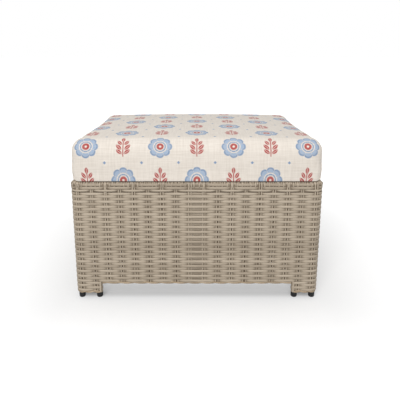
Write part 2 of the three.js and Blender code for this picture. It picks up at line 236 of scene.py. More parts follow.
def wovenRowsTree():
    inputs = [("Path", "Geometry"), ("Rows", "Int"), ("First row", "Int"), ("Row step", "Vector")]
    inputs += floats("Stake pitch", "Phase", "Swing", "Lift", "Front rise", "Sharpness")
    inputs += floats("Double span", "Span shade")
    inputs += strandInputs
    tree, given, result = newTree("wovenRows", "GeometryNodeTree", inputs, [("Mesh", "Geometry")])
    values = {"Geometry": evenCurve(tree, given), "Amount": given["Rows"]}
    copies = add(tree, "GeometryNodeDuplicateElements", values, domain="SPLINE")
    row = plus(tree, copies.outputs[1], given["First row"])
    odd = calc(tree, "FLOORED_MODULO", row, 2.0)
    side = oneMinus(tree, times(tree, odd, 2.0))
    # the wave stands still in the double span, and mirrors on both sides of it
    run = readValue(tree, "run")
    away = absolute(tree, run)
    inSpan = calc(tree, "LESS_THAN", away, given["Double span"])
    mirrored = calc(tree, "GREATER_THAN", given["Double span"], 0.0)
    away = minus(tree, largest(tree, away, given["Double span"]), run)
    away = plus(tree, run, times(tree, away, mirrored))
    turn = plus(tree, times(tree, divide(tree, away, given["Stake pitch"]), math.pi), given["Phase"])
    # a strand runs long in front of the stakes and dips behind them
    wave = times(tree, calc(tree, "SINE", turn), side)
    dip = times(tree, oneMinus(tree, wave), 0.5)
    dip = calc(tree, "POWER", largest(tree, dip, 0.0), given["Sharpness"])
    wave = oneMinus(tree, times(tree, dip, 2.0))
    quarter = times(tree, calc(tree, "COSINE", turn), side)
    step = scaled(tree, given["Row step"], row)
    swing = scaled(tree, readValue(tree, "outward", "FLOAT_VECTOR"), times(tree, wave, given["Swing"]))
    lift = plus(tree, times(tree, quarter, given["Lift"]), times(tree, wave, given["Front rise"]))
    rise = add(tree, "ShaderNodeCombineXYZ", {"Z": lift}).outputs[0]
    here = add(tree, "GeometryNodeInputPosition").outputs[0]
    wobble = wander(tree, addUp(tree, here, step), given["Wobble scale"], given["Wobble"])
    values = {"Geometry": copies.outputs[0], "Offset": addUp(tree, step, swing, rise, wobble)}
    curve = add(tree, "GeometryNodeSetPosition", values).outputs[0]
    curve = keepMarks(tree, given, curve, run, row)
    # the dip, eased in the double span, is kept as 'behind'; the material paints shade from it
    shade = oneMinus(tree, times(tree, inSpan, given["Span shade"]))
    curve = keepValue(tree, curve, "behind", times(tree, dip, shade))
    tree.links.new(finishStrands(tree, given, curve), result[0])
    return tree


# Strands that each follow a path of their own: stakes, wraps and edge strands

def sweptStrandsTree():
    inputs = [("Path", "Geometry")] + strandInputs
    tree, given, result = newTree("sweptStrands", "GeometryNodeTree", inputs, [("Mesh", "Geometry")])
    here = add(tree, "GeometryNodeInputPosition").outputs[0]
    wobble = wander(tree, here, given["Wobble scale"], given["Wobble"])
    values = {"Geometry": evenCurve(tree, given), "Offset": wobble}
    curve = add(tree, "GeometryNodeSetPosition", values).outputs[0]
    number = add(tree, "GeometryNodeCurveOfPoint").outputs[0]
    length = add(tree, "GeometryNodeSplineParameter").outputs["Length"]
    curve = keepMarks(tree, given, curve, length, number)
    tree.links.new(finishStrands(tree, given, curve), result[0])
    return tree


wovenRows = wovenRowsTree()
sweptStrands = sweptStrandsTree()


def pathObject(name, paths):
    # each path is a list of (point, outward, run)
    mesh = bpy.data.meshes.new(name)
    points = [spot[0] for path in paths for spot in path]
    edges = []
    start = 0
    for path in paths:
        edges += [(start + k, start + k + 1) for k in range(len(path) - 1)]
        start += len(path)
    mesh.from_pydata(points, edges, [])
    outward = mesh.attributes.new("outward", "FLOAT_VECTOR", "POINT")
    outward.data.foreach_set("vector", [c for path in paths for spot in path for c in spot[1]])
    run = mesh.attributes.new("run", "FLOAT", "POINT")
    run.data.foreach_set("value", [spot[2] for path in paths for spot in path])
    obj = bpy.data.objects.new(name, mesh)
    sceneCollection.objects.link(obj)
    return obj


def grow(source, tree, values):
    modifier = source.modifiers.new("grow", "NODES")
    modifier.node_group = tree
    for item in tree.interface.items_tree:
        if item.name in values:
            modifier[item.identifier] = values[item.name]
    ready = source.evaluated_get(bpy.context.evaluated_depsgraph_get())
    mesh = bpy.data.meshes.new_from_object(ready)
    bpy.data.objects.remove(source)
    return mesh


def joinMeshes(name, meshes):
    build = bmesh.new()
    materials = []
    for mesh in meshes:
        for material in mesh.materials:
            if material not in materials:
                materials.append(material)
    total = bpy.data.meshes.new(name)
    for material in materials:
        total.materials.append(material)
    for mesh in meshes:
        place = [materials.index(m) for m in mesh.materials]
        for face in mesh.polygons:
            face.material_index = place[face.material_index] if place else 0
        build.from_mesh(mesh)
    build.to_mesh(total)
    build.free()
    for mesh in meshes:
        bpy.data.meshes.remove(mesh)
    return total


def meshFrom(build, name, material=None, sharpAngle=None):
    # a plain mesh; with an angle it is smooth, apart from the edges that turn by more than that
    if sharpAngle:
        for face in build.faces:
            face.smooth = True
        for edge in build.edges:
            edge.smooth = len(edge.link_faces) == 2 and edge.calc_face_angle(0) < sharpAngle
    mesh = bpy.data.meshes.new(name)
    build.to_mesh(mesh)
    build.free()
    if material:
        mesh.materials.append(material)
    return mesh


def finishPiece(name, mesh, body, nodes=()):
    mesh.name = name
    piece = bpy.data.objects.new(name, mesh)
    sceneCollection.objects.link(piece)
    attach(piece, body)
    if nodes:
        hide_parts(*nodes)
    return piece


# Materials

def newMaterial(name):
    material = bpy.data.materials.new(name)
    material.use_nodes = True
    return material, material.node_tree, material.node_tree.nodes["Principled BSDF"]


def srgb(*levels):
    # a colour as it is written on a screen, 0 to 255, in Blender's own linear values
    shares = [level / 255 for level in levels]
    return tuple(c / 12.92 if c < 0.0404 else ((c + 0.055) / 1.055) ** 2.4 for c in shares) + (1.0,)


def darker(colour, share):
    return tuple(c * share for c in colour[:3]) + (1.0,)


def ramp(tree, factor, stops):
    node = add(tree, "ShaderNodeValToRGB", {0: factor})
    node.color_ramp.elements[0].position, node.color_ramp.elements[0].color = stops[0]
    node.color_ramp.elements[1].position, node.color_ramp.elements[1].color = stops[-1]
    for position, colour in stops[1:-1]:
        node.color_ramp.elements.new(position).color = colour
    return node.outputs[0]


def bump(tree, height, strength, distance):
    values = {"Height": height, "Strength": strength, "Distance": distance}
    return add(tree, "ShaderNodeBump", values).outputs[0]


def mixColour(tree, factor, first, second):
    return add(tree, "ShaderNodeMix", {"Factor": factor, 6: first, 7: second}, data_type="RGBA").outputs[2]


def objectPlace(tree):
    return add(tree, "ShaderNodeTexCoord").outputs["Object"]


def attribute(tree, name):
    return add(tree, "ShaderNodeAttribute", attribute_name=name).outputs["Fac"]


wickerLook = {
    "deep": srgb(159, 145, 127),
    "middle": srgb(180, 166, 147),
    "light": srgb(197, 183, 164),
    "warm": srgb(179, 157, 129),
    "streaksPerMetre": 30.0,
    "streaksAcross": 3.2,
    "streakShare": 0.6,  # the rest of the grain is blotches
    "toneShare": 0.3,
    # painted shade: the colour and strength of the darkening painted into recesses and along strand edges
    "paintedShadeTint": srgb(83, 64, 40),
    "paintedRecessShade": 0.8,
    "paintedRecessPower": 3.0,
    "edge": (0.66, 0.95),  # where the painted shade along an edge starts and is full, from the strand's middle
    "paintedEdgeShade": (0.55, 1.0),
    "roughness": (0.48, 0.66),
    "bump": 0.25,
    "bumpDepth": 0.4 * mm,
}


def strandGrain():
    # fine streaks along a strand, from the strand's own length and width
    inputs = floats("Along", "Across", "Tone", "Per metre", "Across count")
    tree, given, result = newTree("strandGrain", "ShaderNodeTree", inputs, floats("Streaks", "Blotches"))
    spot = add(tree, "ShaderNodeCombineXYZ", {
        "X": times(tree, given["Along"], given["Per metre"]),
        "Y": times(tree, given["Across"], given["Across count"]),
        "Z": times(tree, given["Tone"], 97.0),  # so that no two strands look alike
    }).outputs[0]
    tree.links.new(noiseOf(tree, spot, 1.0, 3.0, 0.6)["Fac"], result["Streaks"])
    spot = combine(tree, "MULTIPLY", spot, (0.45, 0.2, 1.0))
    tree.links.new(noiseOf(tree, spot, 1.0, 1.0)["Fac"], result["Blotches"])
    return tree


grainGroup = strandGrain()


def wickerMaterial(name, middle):
    look = wickerLook
    material, tree, shader = newMaterial(name)
    across, tone, behind = [attribute(tree, key) for key in ("across", "tone", "behind")]
    grain = add(tree, "ShaderNodeGroup", {
        "Along": attribute(tree, "along"), "Across": across, "Tone": tone,
        "Per metre": look["streaksPerMetre"], "Across count": look["streaksAcross"],
    }, node_tree=grainGroup).outputs
    level = plus(tree, times(tree, grain["Streaks"], look["streakShare"]),
                 times(tree, grain["Blotches"], 1 - look["streakShare"]))
    mixed = plus(tree, times(tree, tone, look["toneShare"]), 0.5 - look["toneShare"] / 2)
    level = plus(tree, minus(tree, level, 0.5), mixed)
    colour = ramp(tree, level, [(0.25, look["deep"]), (0.5, middle), (0.78, look["light"])])
    # painted shade: darker where a strand goes behind a stake, and along its edges where the gaps between
    # rows fall into shade
    paintedRecessShade = times(tree, calc(tree, "POWER", behind, look["paintedRecessPower"]), look["paintedRecessShade"])
    start, end = look["edge"]
    values = {0: absolute(tree, across), 1: start, 2: end}
    edge = add(tree, "ShaderNodeMapRange", values, interpolation_type="SMOOTHSTEP").outputs[0]
    edge = times(tree, edge, between(tree, behind, *look["paintedEdgeShade"]))
    fill(tree, shader, {
        "Base Color": mixColour(tree, largest(tree, paintedRecessShade, edge), colour, look["paintedShadeTint"]),
        "Roughness": between(tree, grain["Streaks"], *look["roughness"]),
        "Normal": bump(tree, grain["Streaks"], look["bump"], look["bumpDepth"]),
        "Specular IOR Level": 0.4,
    })
    return material


wicker = wickerMaterial("wicker", wickerLook["middle"])
wickerWarm = wickerMaterial("wickerBorder", wickerLook["warm"])


# The base's walls

borderGap = 0.3 * mm  # between the end of an apron's border and the leg beside it
base = {
    "halfX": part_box("wicker_rim_right")[1].x,
    "halfY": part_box("wicker_rim_back")[1].y,
    "cornerRadius": 22 * mm,
    "wall": 6.5 * mm,
    "legBottom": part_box("wicker_wall_front")[0].z,
    "apronBottom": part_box("apron_border_front")[0].z,
    "legInnerX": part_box("apron_border_front")[1].x + borderGap,
    "legInnerY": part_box("apron_border_right")[1].y + borderGap,
}
longSide = {"length": base["halfX"], "reach": base["halfY"], "legInner": base["legInnerX"], "phase": 0.0}
shortSide = {
    "length": base["halfY"], "reach": base["halfX"], "legInner": base["legInnerY"], "phase": -math.pi / 2,
}
sides = {"front": longSide, "right": shortSide, "back": longSide, "left": shortSide}


def toWorld(side, along, out, z=0.0):
    # from a side's own axes, along it and outwards, to the object's
    return {
        "front": (along, -out, z),
        "right": (out, along, z),
        "back": (-along, out, z),
        "left": (-out, -along, z),
    }[side]


weave = {
    "stakePitch": 36.48 * mm,
    "rowPitch": 7.03 * mm,
    "fullRows": 36,
    "lowestRow": 4.7 * mm,  # above the bottom of the apron
    "legRows": 4,
    "legPitch": 6.8 * mm,
    "weaverWidth": 7.45 * mm,
    "weaverThickness": 1.8 * mm,
    "swing": 1.9 * mm,
    "sharpness": 3.0,
    "frontRise": 0.45 * mm,
    "wobble": 0.7 * mm,
    "wobbleScale": 26.0,
    "segment": 2.9 * mm,
    "pathStep": 1.0 * mm,
    "spanShade": 0.46,
    "seed": 4,
}
stake = {
    "width": 3.6 * mm,
    "thickness": 2.0 * mm,
    "spread": 3.25 * mm,  # from the middle of a pair
    "meet": 0.28,  # how much closer the two of a pair stand at the rim
    "meetPower": 8,
    "legGap": 4 * mm,  # from the bottom of a leg or an apron to a stake's end
    "apronGap": 2.5 * mm,
    "top": 316 * mm,
    "points": 9,
    "lean": 0.8 * mm,
    "jitter": 0.5 * mm,
    "slant": 3 * mm,
    "wobble": 0.6 * mm,
    "wobbleScale": 20.0,
    "segment": 3.5 * mm,
}
middleRadius = base["cornerRadius"] - base["wall"] / 2
cornerHalfRun = middleRadius * math.pi / 4
rowBase = base["apronBottom"] + weave["lowestRow"] + weave["rowPitch"] / 2


def wallSpot(side, run, z=0.0, out=0.0):
    # a point on the middle of the wall, moved outwards, with its outward direction and its run
    facts = sides[side]
    straight = facts["length"] - base["cornerRadius"]
    reach = facts["reach"] - base["wall"] / 2
    past = max(abs(run) - straight, 0.0)
    angle = past / middleRadius
    sign = math.copysign(1.0, run)
    along = run - sign * past + sign * (middleRadius + out) * math.sin(angle)
    away = reach - middleRadius + (middleRadius + out) * math.cos(angle)
    outward = toWorld(side, sign * math.sin(angle), math.cos(angle))
    return toWorld(side, along, away, z), outward, run


def wallPath(side, start, end, z=0.0, out=0.0):
    count = max(2, round(abs(end - start) / weave["pathStep"]))
    return [wallSpot(side, start + (end - start) * k / count, z, out) for k in range(count + 1)]


def endOfSide(side):
    return sides[side]["length"] - base["cornerRadius"] + cornerHalfRun


def firstStake(side):
    # the front and the back have a pair of stakes on each side of their middle, a short side has one in it
    return weave["stakePitch"] / 2 if side in ("front", "back") else 0.0


def waveAt(side, run):
    # the two middle stakes of a long side are woven as one, and the rows run straight between them
    away = max(abs(run), firstStake(side))
    return math.sin(math.pi * away / weave["stakePitch"] + sides[side]["phase"])


def rowValues(side, material, **changes):
    values = {
        "Rows": 1, "First row": 0, "Row step": (0.0, 0.0, 0.0),
        "Stake pitch": weave["stakePitch"], "Phase": sides[side]["phase"] if side else 0.0,
        "Swing": weave["swing"], "Lift": 0.0, "Front rise": 0.0, "Sharpness": weave["sharpness"],
        "Double span": firstStake(side), "Span shade": weave["spanShade"],
        "Width": weave["weaverWidth"], "Thickness": weave["weaverThickness"],
        "Wobble": weave["wobble"], "Wobble scale": weave["wobbleScale"],
        "Segment": weave["segment"], "Seed": weave["seed"], "Material": material,
    }
    values.update(changes)
    return values


def strandValues(material, **changes):
    values = {
        "Width": stake["width"], "Thickness": stake["thickness"], "Wobble": stake["wobble"],
        "Wobble scale": stake["wobbleScale"], "Segment": stake["segment"], "Seed": weave["seed"],
        "Material": material,
    }
    values.update(changes)
    return values


legFold = {
    "bend": 3.2 * mm,
    "bendSteps": 6,
    "straight": 5.5 * mm,
    "wrap": 9.0 * mm,
    "turn": math.radians(110),
    "wrapSteps": 10,
}


def legReturn(side, sign, z, out=0.0):
    # the bend round a leg's inner edge and the wrap round its tube, outermost spot first
    facts = sides[side]
    bend, half = legFold["bend"], base["wall"] / 2
    edge = facts["legInner"] + half
    reach = facts["reach"] - half
    runAtBend = sign * (edge + bend)
    spots = []
    for k in range(legFold["bendSteps"] + 1):
        angle = math.pi / 2 * k / legFold["bendSteps"]
        along = edge + bend - (bend + out) * math.sin(angle)
        away = reach - bend + (bend + out) * math.cos(angle)
        outward = toWorld(side, -sign * math.sin(angle), math.cos(angle))
        spots.append((toWorld(side, sign * along, away, z), outward, runAtBend - sign * bend * angle))
    last = spots[-1][2]
    centre = reach - bend - legFold["straight"]
    radius = legFold["wrap"]
    for k in range(1, legFold["wrapSteps"] + 1):
        angle = legFold["turn"] * k / legFold["wrapSteps"]
        along = edge + radius - (radius + out) * math.cos(angle)
        away = centre - (radius + out) * math.sin(angle)
        outward = toWorld(side, -sign * math.cos(angle), -math.sin(angle))
        run = last - sign * (legFold["straight"] + radius * angle)
        spots.append((toWorld(side, sign * along, away, z), outward, run))
    return spots


def legPath(side, sign, z):
    # from the mitre at the corner to the end of the fold
    bendRun = sides[side]["legInner"] + base["wall"] / 2 + legFold["bend"]
    front = wallPath(side, sign * endOfSide(side), sign * bendRun, z)
    path = front[:-1] + legReturn(side, sign, z)
    return path if sign < 0 else path[::-1]


def makeWallRows(side):
    # full rows across the wall, and short ones down its two legs
    end = endOfSide(side)
    wall = [wallPath(side, -end, end, rowBase)]
    legs = [legPath(side, sign, rowBase) for sign in (-1, 1)]
    meshes = []
    for paths, rows, first, pitch in (
        (wall, weave["fullRows"], 0, weave["rowPitch"]),
        (legs, weave["legRows"], -weave["legRows"], weave["legPitch"]),
    ):
        values = rowValues(side, wicker, **{
            "Rows": rows, "First row": first, "Row step": (0.0, 0.0, pitch), "Front rise": weave["frontRise"],
        })
        meshes.append(grow(pathObject("rowPath", paths), wovenRows, values))
    return joinMeshes(f"weavers_{side}", meshes)


# A strand's way over the top rail, from outside to the inside of the rim: (inset, height) in millimetres

railFold = {
    "stakeInFront": [(3.2, 318.0), (2.2, 322.5)],
    "stakeBehind": [(3.2, 318.0), (5.2, 322.5)],
    "short": [(5.0, 324.5), (3.0, 327.0)],
    "long": [(2.4, 319.0), (0.9, 321.5), (0.9, 326.0)],
    "stakeOver": [(3.6, 328.0), (8.0, 330.3), (14.8, 330.7)],
    "wrapOver": [(3.6, 328.2), (8.0, 330.6), (14.8, 331.0)],
    "endAtCorner": [(18.5, 330.4), (20.5, 327.5)],
    "endInside": [(21.0, 330.2), (25.0, 327.6), (26.0, 321.5)],
}


def foldPoints(side, run, rise, over):
    onCorner = abs(run) > sides[side]["length"] - base["cornerRadius"]
    return railFold[rise] + railFold[over] + railFold["endAtCorner" if onCorner else "endInside"]


def rimSpot(side, run, inset, z):
    return wallSpot(side, run, z, base["wall"] / 2 - inset)


def smoothLine(points, count):
    # a Catmull-Rom line through a few points
    points = [np.array(p, float) for p in points]
    ends = [2 * points[0] - points[1]] + points + [2 * points[-1] - points[-2]]
    line = []
    for k in range(count + 1):
        place = k / count * (len(points) - 1)
        i = min(int(place), len(points) - 2)
        t = place - i
        a, b, c, d = ends[i:i + 4]
        spot = 2 * b + (c - a) * t + (2 * a - 5 * b + 4 * c - d) * t ** 2 + (3 * b - a - 3 * c + d) * t ** 3
        line.append(tuple(spot / 2))
    return line


def overRail(side, run, points, slant, count=16):
    # a strand over the top rail, with its outward side turning from the wall to the top and the inside
    line = smoothLine(points, count)
    path = []
    for k, (inset, z) in enumerate(line):
        spot, outward, _ = rimSpot(side, run + slant * (k / len(line) - 0.5), inset * mm, z * mm)
        before, after = line[max(k - 1, 0)], line[min(k + 1, len(line) - 1)]
        inwards, upwards = after[0] - before[0], after[1] - before[1]
        size = math.hypot(inwards, upwards)
        level = upwards / size
        path.append((spot, (outward[0] * level, outward[1] * level, inwards / size), run))
    return path


def stakeRuns(side):
    # one pair of stakes every pitch, counted from the middle of the side
    pitch = weave["stakePitch"]
    runs = []
    place = firstStake(side) / pitch
    while place * pitch < endOfSide(side):
        runs += [place * pitch] if place == 0 else [place * pitch, -place * pitch]
        place += 1
    return runs


def makeStakes(side):
    paths = []
    rng = random.Random(weave["seed"] + len(side))
    for run in stakeRuns(side):
        onLeg = abs(run) > sides[side]["legInner"]
        low = base["legBottom"] + stake["legGap"] if onLeg else base["apronBottom"] + stake["apronGap"]
        rise = "stakeInFront" if waveAt(side, run) > 0 else "stakeBehind"
        points = foldPoints(side, run, rise, "stakeOver")
        for hand in (-1, 1):
            lean = rng.uniform(-1, 1) * stake["lean"]
            shifts = [rng.uniform(-1, 1) * stake["jitter"] for _ in range(stake["points"])]
            path = []
            for k, shift in enumerate(shifts):
                share = k / (stake["points"] - 1)
                closer = 1 - stake["meet"] * share ** stake["meetPower"]
                spotRun = run + hand * stake["spread"] * closer + lean * (share - 0.5) * 2 + shift
                path.append(wallSpot(side, spotRun, low + (stake["top"] - low) * share))
            paths.append(path + overRail(side, spotRun, points, rng.uniform(-1, 1) * stake["slant"]))
    return grow(pathObject("stakePath", paths), sweptStrands, strandValues(wicker))


# The rim: strands laid over the top rail, with rows that hold them outside

rim = {
    "rows": [  # height of the middle, width, parity of the weave, shift outwards, swing
        (309.0 * mm, 5.9 * mm, 0, 0.0, 1.9 * mm),
        (316.0 * mm, 7.6 * mm, 1, 0.0, 2.1 * mm),
        (324.2 * mm, 7.4 * mm, 1, -0.4 * mm, 1.2 * mm),
    ],
    "hollows": [  # height, inset, phase: the lower the phase, the more painted shade darkens the strand
        (303.9 * mm, 5.6 * mm, -1.57), (311.9 * mm, 5.6 * mm, -1.57), (320.1 * mm, 5.4 * mm, -1.57),
        (327.4 * mm, 5.2 * mm, -1.0), (329.4 * mm, 9.5 * mm, -0.8), (329.6 * mm, 16.5 * mm, -0.8),
    ],
    "hollowWidth": 4.2 * mm,
    "hollowSegment": 6 * mm,
    "wraps": {  # places after each pair of stakes, and width
        "short": ((7.4 * mm, 18.24 * mm, 29.1 * mm), 3.8 * mm),
        "long": ((12.16 * mm, 24.32 * mm), 3.4 * mm),
    },
    "wrapTurns": 12,  # pitches to each side, enough for the longest side
    "wrapThickness": 1.6 * mm,
    "wrapJitter": 1.4 * mm,
    "wrapSlant": 1.2 * mm,
    "wrapSegment": 2.6 * mm,
}
endless = 1000.0  # a pitch so long that a strand has no wave


def makeRim(side):
    end = endOfSide(side)
    meshes = []
    for z, width, parity, shift, swing in rim["rows"]:
        path = pathObject("rimRow", [wallPath(side, -end, end, z, shift)])
        values = rowValues(side, wicker, **{"First row": parity, "Width": width, "Swing": swing})
        meshes.append(grow(path, wovenRows, values))
    for z, inset, phase in rim["hollows"]:
        # strands that lie deeper, behind the slits, darkened by painted shade
        path = pathObject("rimHollow", [wallPath(side, -end, end, z, base["wall"] / 2 - inset)])
        values = rowValues(side, wicker, **{
            "Swing": 0.0, "Width": rim["hollowWidth"], "Stake pitch": endless, "Double span": 0.0,
            "Phase": phase, "Segment": rim["hollowSegment"],
        })
        meshes.append(grow(path, wovenRows, values))
    rng = random.Random(weave["seed"] + len(side) * 7)
    for kind, (places, width) in rim["wraps"].items():
        paths = []
        for turn in range(-rim["wrapTurns"], rim["wrapTurns"] + 1):
            for place in places:
                jitter = rng.uniform(-1, 1) * rim["wrapJitter"]
                slant = rng.uniform(-1, 1) * rim["wrapSlant"]
                run = firstStake(side) + turn * weave["stakePitch"] + place + jitter
                if abs(run) <= end:
                    paths.append(overRail(side, run, foldPoints(side, run, kind, "wrapOver"), slant))
        values = strandValues(wicker, Width=width, Thickness=rim["wrapThickness"], Segment=rim["wrapSegment"])
        meshes.append(grow(pathObject("rimWraps", paths), sweptStrands, values))
    return joinMeshes(f"rim_{side}", meshes)


# The twisted pair under an apron, the pair round the bottom of a leg, and the strands down a leg's inner edge

border = {
    "apronHeight": 47.9 * mm,
    "apronSwing": 1.3 * mm,
    "apronLift": 1.5 * mm,
    "apronEnd": 1 * mm,  # from the leg
    "legHeight": 2.9 * mm,
    "legSwing": 1.2 * mm,
    "legLift": 1.9 * mm,
    "legPitch": 22.86 * mm,  # at this one the pair runs on round the corners
    "width": 4.6 * mm,
    "thickness": 2.7 * mm,
    "edgeAngles": (0.12, 0.85),  # of the bend round a leg's edge
    "edgeTop": 51.0 * mm,
    "edgeGap": 1.5 * mm,
    "edgeOut": 1.9 * mm,
    "edgeSteps": 5,
    "edgeWidth": 4.4 * mm,
    "wrapPitch": 11.5 * mm,
    "wrapJitter": 1 * mm,
    "wrapSlant": (1.0 * mm, 3.0 * mm),
    "wrapStart": math.radians(218),
    "wrapTurn": math.radians(270),
    "wrapSteps": 18,
    "wrapRadius": 9.4 * mm,
    "wrapWidth": 5.0 * mm,
    "wrapThickness": 1.6 * mm,
    "wrapSegment": 3.0 * mm,
    "railInset": 14.8 * mm,
    "railHeight": 58.5 * mm,
}


def pairValues(side, **changes):
    values = {"Rows": 2, "Width": border["width"], "Thickness": border["thickness"], "Sharpness": 1.0}
    return rowValues(side, wickerWarm, **values, **changes)


def makeApronBorder(side):
    reach = sides[side]["legInner"] - border["apronEnd"]
    path = pathObject("apronPair", [wallPath(side, -reach, reach, border["apronHeight"])])
    values = pairValues(side, **{
        "Swing": border["apronSwing"], "Lift": border["apronLift"], "Double span": 0.0,
    })
    meshes = [grow(path, wovenRows, values)]
    rng = random.Random(weave["seed"] + len(side) * 3)
    paths = []
    count = int(2 * reach / border["wrapPitch"]) + 1
    for k in range(count):
        run = -reach + (k + 0.5) * 2 * reach / count + rng.uniform(-1, 1) * border["wrapJitter"]
        slant = rng.uniform(*border["wrapSlant"])
        path = []
        for step in range(border["wrapSteps"] + 1):
            share = step / border["wrapSteps"]
            angle = border["wrapStart"] + border["wrapTurn"] * share
            inset = border["railInset"] + border["wrapRadius"] * math.cos(angle)
            z = border["railHeight"] + border["wrapRadius"] * math.sin(angle)
            spot, outward, _ = rimSpot(side, run + slant * share, inset, z)
            level = -math.cos(angle)
            path.append((spot, (outward[0] * level, outward[1] * level, math.sin(angle)), run))
        paths.append(path)
    values = strandValues(wicker, **{
        "Width": border["wrapWidth"], "Thickness": border["wrapThickness"], "Segment": border["wrapSegment"],
    })
    meshes.append(grow(pathObject("apronWraps", paths), sweptStrands, values))
    return joinMeshes(f"apron_{side}", meshes)


def makeLegBorders(side):
    height = base["legBottom"] + border["legHeight"]
    pair = pathObject("legPair", [legPath(side, sign, height) for sign in (-1, 1)])
    values = pairValues(side, **{
        "Swing": border["legSwing"], "Lift": border["legLift"], "Stake pitch": border["legPitch"],
    })
    meshes = [grow(pair, wovenRows, values)]
    low = base["legBottom"] + border["edgeGap"]
    edges = []
    for sign in (-1, 1):
        for share in border["edgeAngles"]:
            path = []
            for k in range(border["edgeSteps"] + 1):
                z = low + (border["edgeTop"] - low) * k / border["edgeSteps"]
                bend = legReturn(side, sign, z, border["edgeOut"])
                spot, outward, _ = bend[round(share * legFold["bendSteps"])]
                path.append((spot, outward, z))
            edges.append(path)
    values = strandValues(wicker, Width=border["edgeWidth"])
    meshes.append(grow(pathObject("legEdges", edges), sweptStrands, values))
    return joinMeshes(f"leg_borders_{side}", meshes)


def makeWalls():
    for side in sides:
        finishPiece(f"weavers_{side}", makeWallRows(side), "base", [f"wicker_wall_{side}"])
        stakes = makeStakes(side)
        finishPiece(f"stakes_{side}", stakes, "base", [f"wicker_wall_{side}"])
    print("walls woven")


def makeEdges():
    for side in sides:
        finishPiece(f"rim_{side}", makeRim(side), "base", [f"wicker_rim_{side}"])
        finishPiece(f"apron_{side}", makeApronBorder(side), "base", [f"apron_border_{side}"])
        finishPiece(f"leg_borders_{side}", makeLegBorders(side), "base", [f"wicker_wall_{side}"])
    print("rim and borders laid")


makeWalls()
makeEdges()


# The deck under the cushion: flat strands woven both ways over the rails

deck = {
    "pitch": 15.0 * mm,
    "width": 11.6 * mm,
    "thickness": 1.1 * mm,
    "swing": 0.85 * mm,
    "segment": 5.0 * mm,
    "edge": 2 * mm,
    "wobble": 0.9 * mm,
    "wobbleScale": 12.0,
    "pathPoints": 200,
}


def deckStrands(path, rows, step, phase):
    values = rowValues(None, wicker, **{
        "Rows": rows, "Row step": step, "Phase": phase, "Stake pitch": deck["pitch"], "Swing": deck["swing"],
        "Sharpness": 1.0, "Width": deck["width"], "Thickness": deck["thickness"], "Wobble": deck["wobble"],
        "Wobble scale": deck["wobbleScale"], "Segment": deck["segment"],
    })
    return grow(pathObject("deckPath", [path]), wovenRows, values)


def makeDeck():
    low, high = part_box("woven_deck")
    z = (low.z + high.z) / 2
    reachX, reachY = high.x - deck["edge"], high.y - deck["edge"]
    pitch = deck["pitch"]
    across, along = int(reachX / pitch), int(reachY / pitch)
    up = (0, 0, 1)
    path = [((x, -along * pitch, z), up, x) for x in np.linspace(-reachX, reachX, deck["pathPoints"])]
    rows = deckStrands(path, 2 * along + 1, (0.0, pitch, 0.0), math.pi / 2)
    path = [((-across * pitch, y, z), up, y) for y in np.linspace(-reachY, reachY, deck["pathPoints"])]
    # a column goes under where a row goes over it
    phase = math.pi / 2 + math.pi * ((across + along + 1) % 2)
    columns = deckStrands(path, 2 * across + 1, (pitch, 0.0, 0.0), phase)
    finishPiece("deck", joinMeshes("deck", [rows, columns]), "base", ["woven_deck"])
    print("deck woven")


makeDeck()


# The tube frame and the glides

frameLook = {
    "colour": srgb(86, 78, 68),
    "speck": srgb(102, 94, 83),
    "speckScale": 900.0,
    "roughness": 0.5,
    "sharpAngle": math.radians(40),
}
tubeKinds = (
    "corner_post", "leg_tube", "side_leg_tube", "leg_plate",
    "middle_upright", "top_rail", "apron_rail", "deck_bar",
)
glide = {
    "colour": srgb(26, 27, 29),
    "worn": srgb(52, 53, 55),
    "wornHeight": 4 * mm,
    "grainScale": 420.0,
    "radius": 8.4 * mm,
    "round": 4.2 * mm,
    "roundSteps": 7,
    "sides": 40,
    "tubeBore": 6.4 * mm,
    "topGap": 1 * mm,
    "sharpAngle": math.radians(50),
}
grainDepth = 0.2 * mm  # of the bumps of paint, plastic and tape


def frameMaterial():
    material, tree, shader = newMaterial("powderCoat")
    fine = noiseOf(tree, objectPlace(tree), frameLook["speckScale"])["Fac"]
    fill(tree, shader, {
        "Base Color": ramp(tree, fine, [(0.35, frameLook["colour"]), (0.7, frameLook["speck"])]),
        "Normal": bump(tree, fine, 0.3, grainDepth),
        "Roughness": frameLook["roughness"],
    })
    return material


def glideMaterial():
    material, tree, shader = newMaterial("glidePlastic")
    place = objectPlace(tree)
    fine = noiseOf(tree, place, glide["grainScale"], 3.0)["Fac"]
    high = partsOf(tree, place)["Z"]
    wear = oneMinus(tree, divide(tree, high, glide["wornHeight"]))
    wear = times(tree, largest(tree, wear, 0.0), fine)
    fill(tree, shader, {
        "Base Color": ramp(tree, wear, [(0.1, glide["colour"]), (0.6, glide["worn"])]),
        "Roughness": between(tree, fine, 0.3, 0.55),
        "Normal": bump(tree, fine, 0.15, grainDepth),
    })
    return material


def makeFrame():
    # the tubes' own meshes, merged and shaded smooth
    tubes = [n for n in sorted(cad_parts) if n.startswith(tubeKinds)]
    build = bmesh.new()
    for node in tubes:
        build.from_mesh(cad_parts[node].data)
    bmesh.ops.remove_doubles(build, verts=build.verts, dist=1e-5)
    mesh = meshFrom(build, "frame_tubes", frameMaterial(), frameLook["sharpAngle"])
    finishPiece("frame_tubes", mesh, "base", tubes)
    print("frame coated", len(tubes))


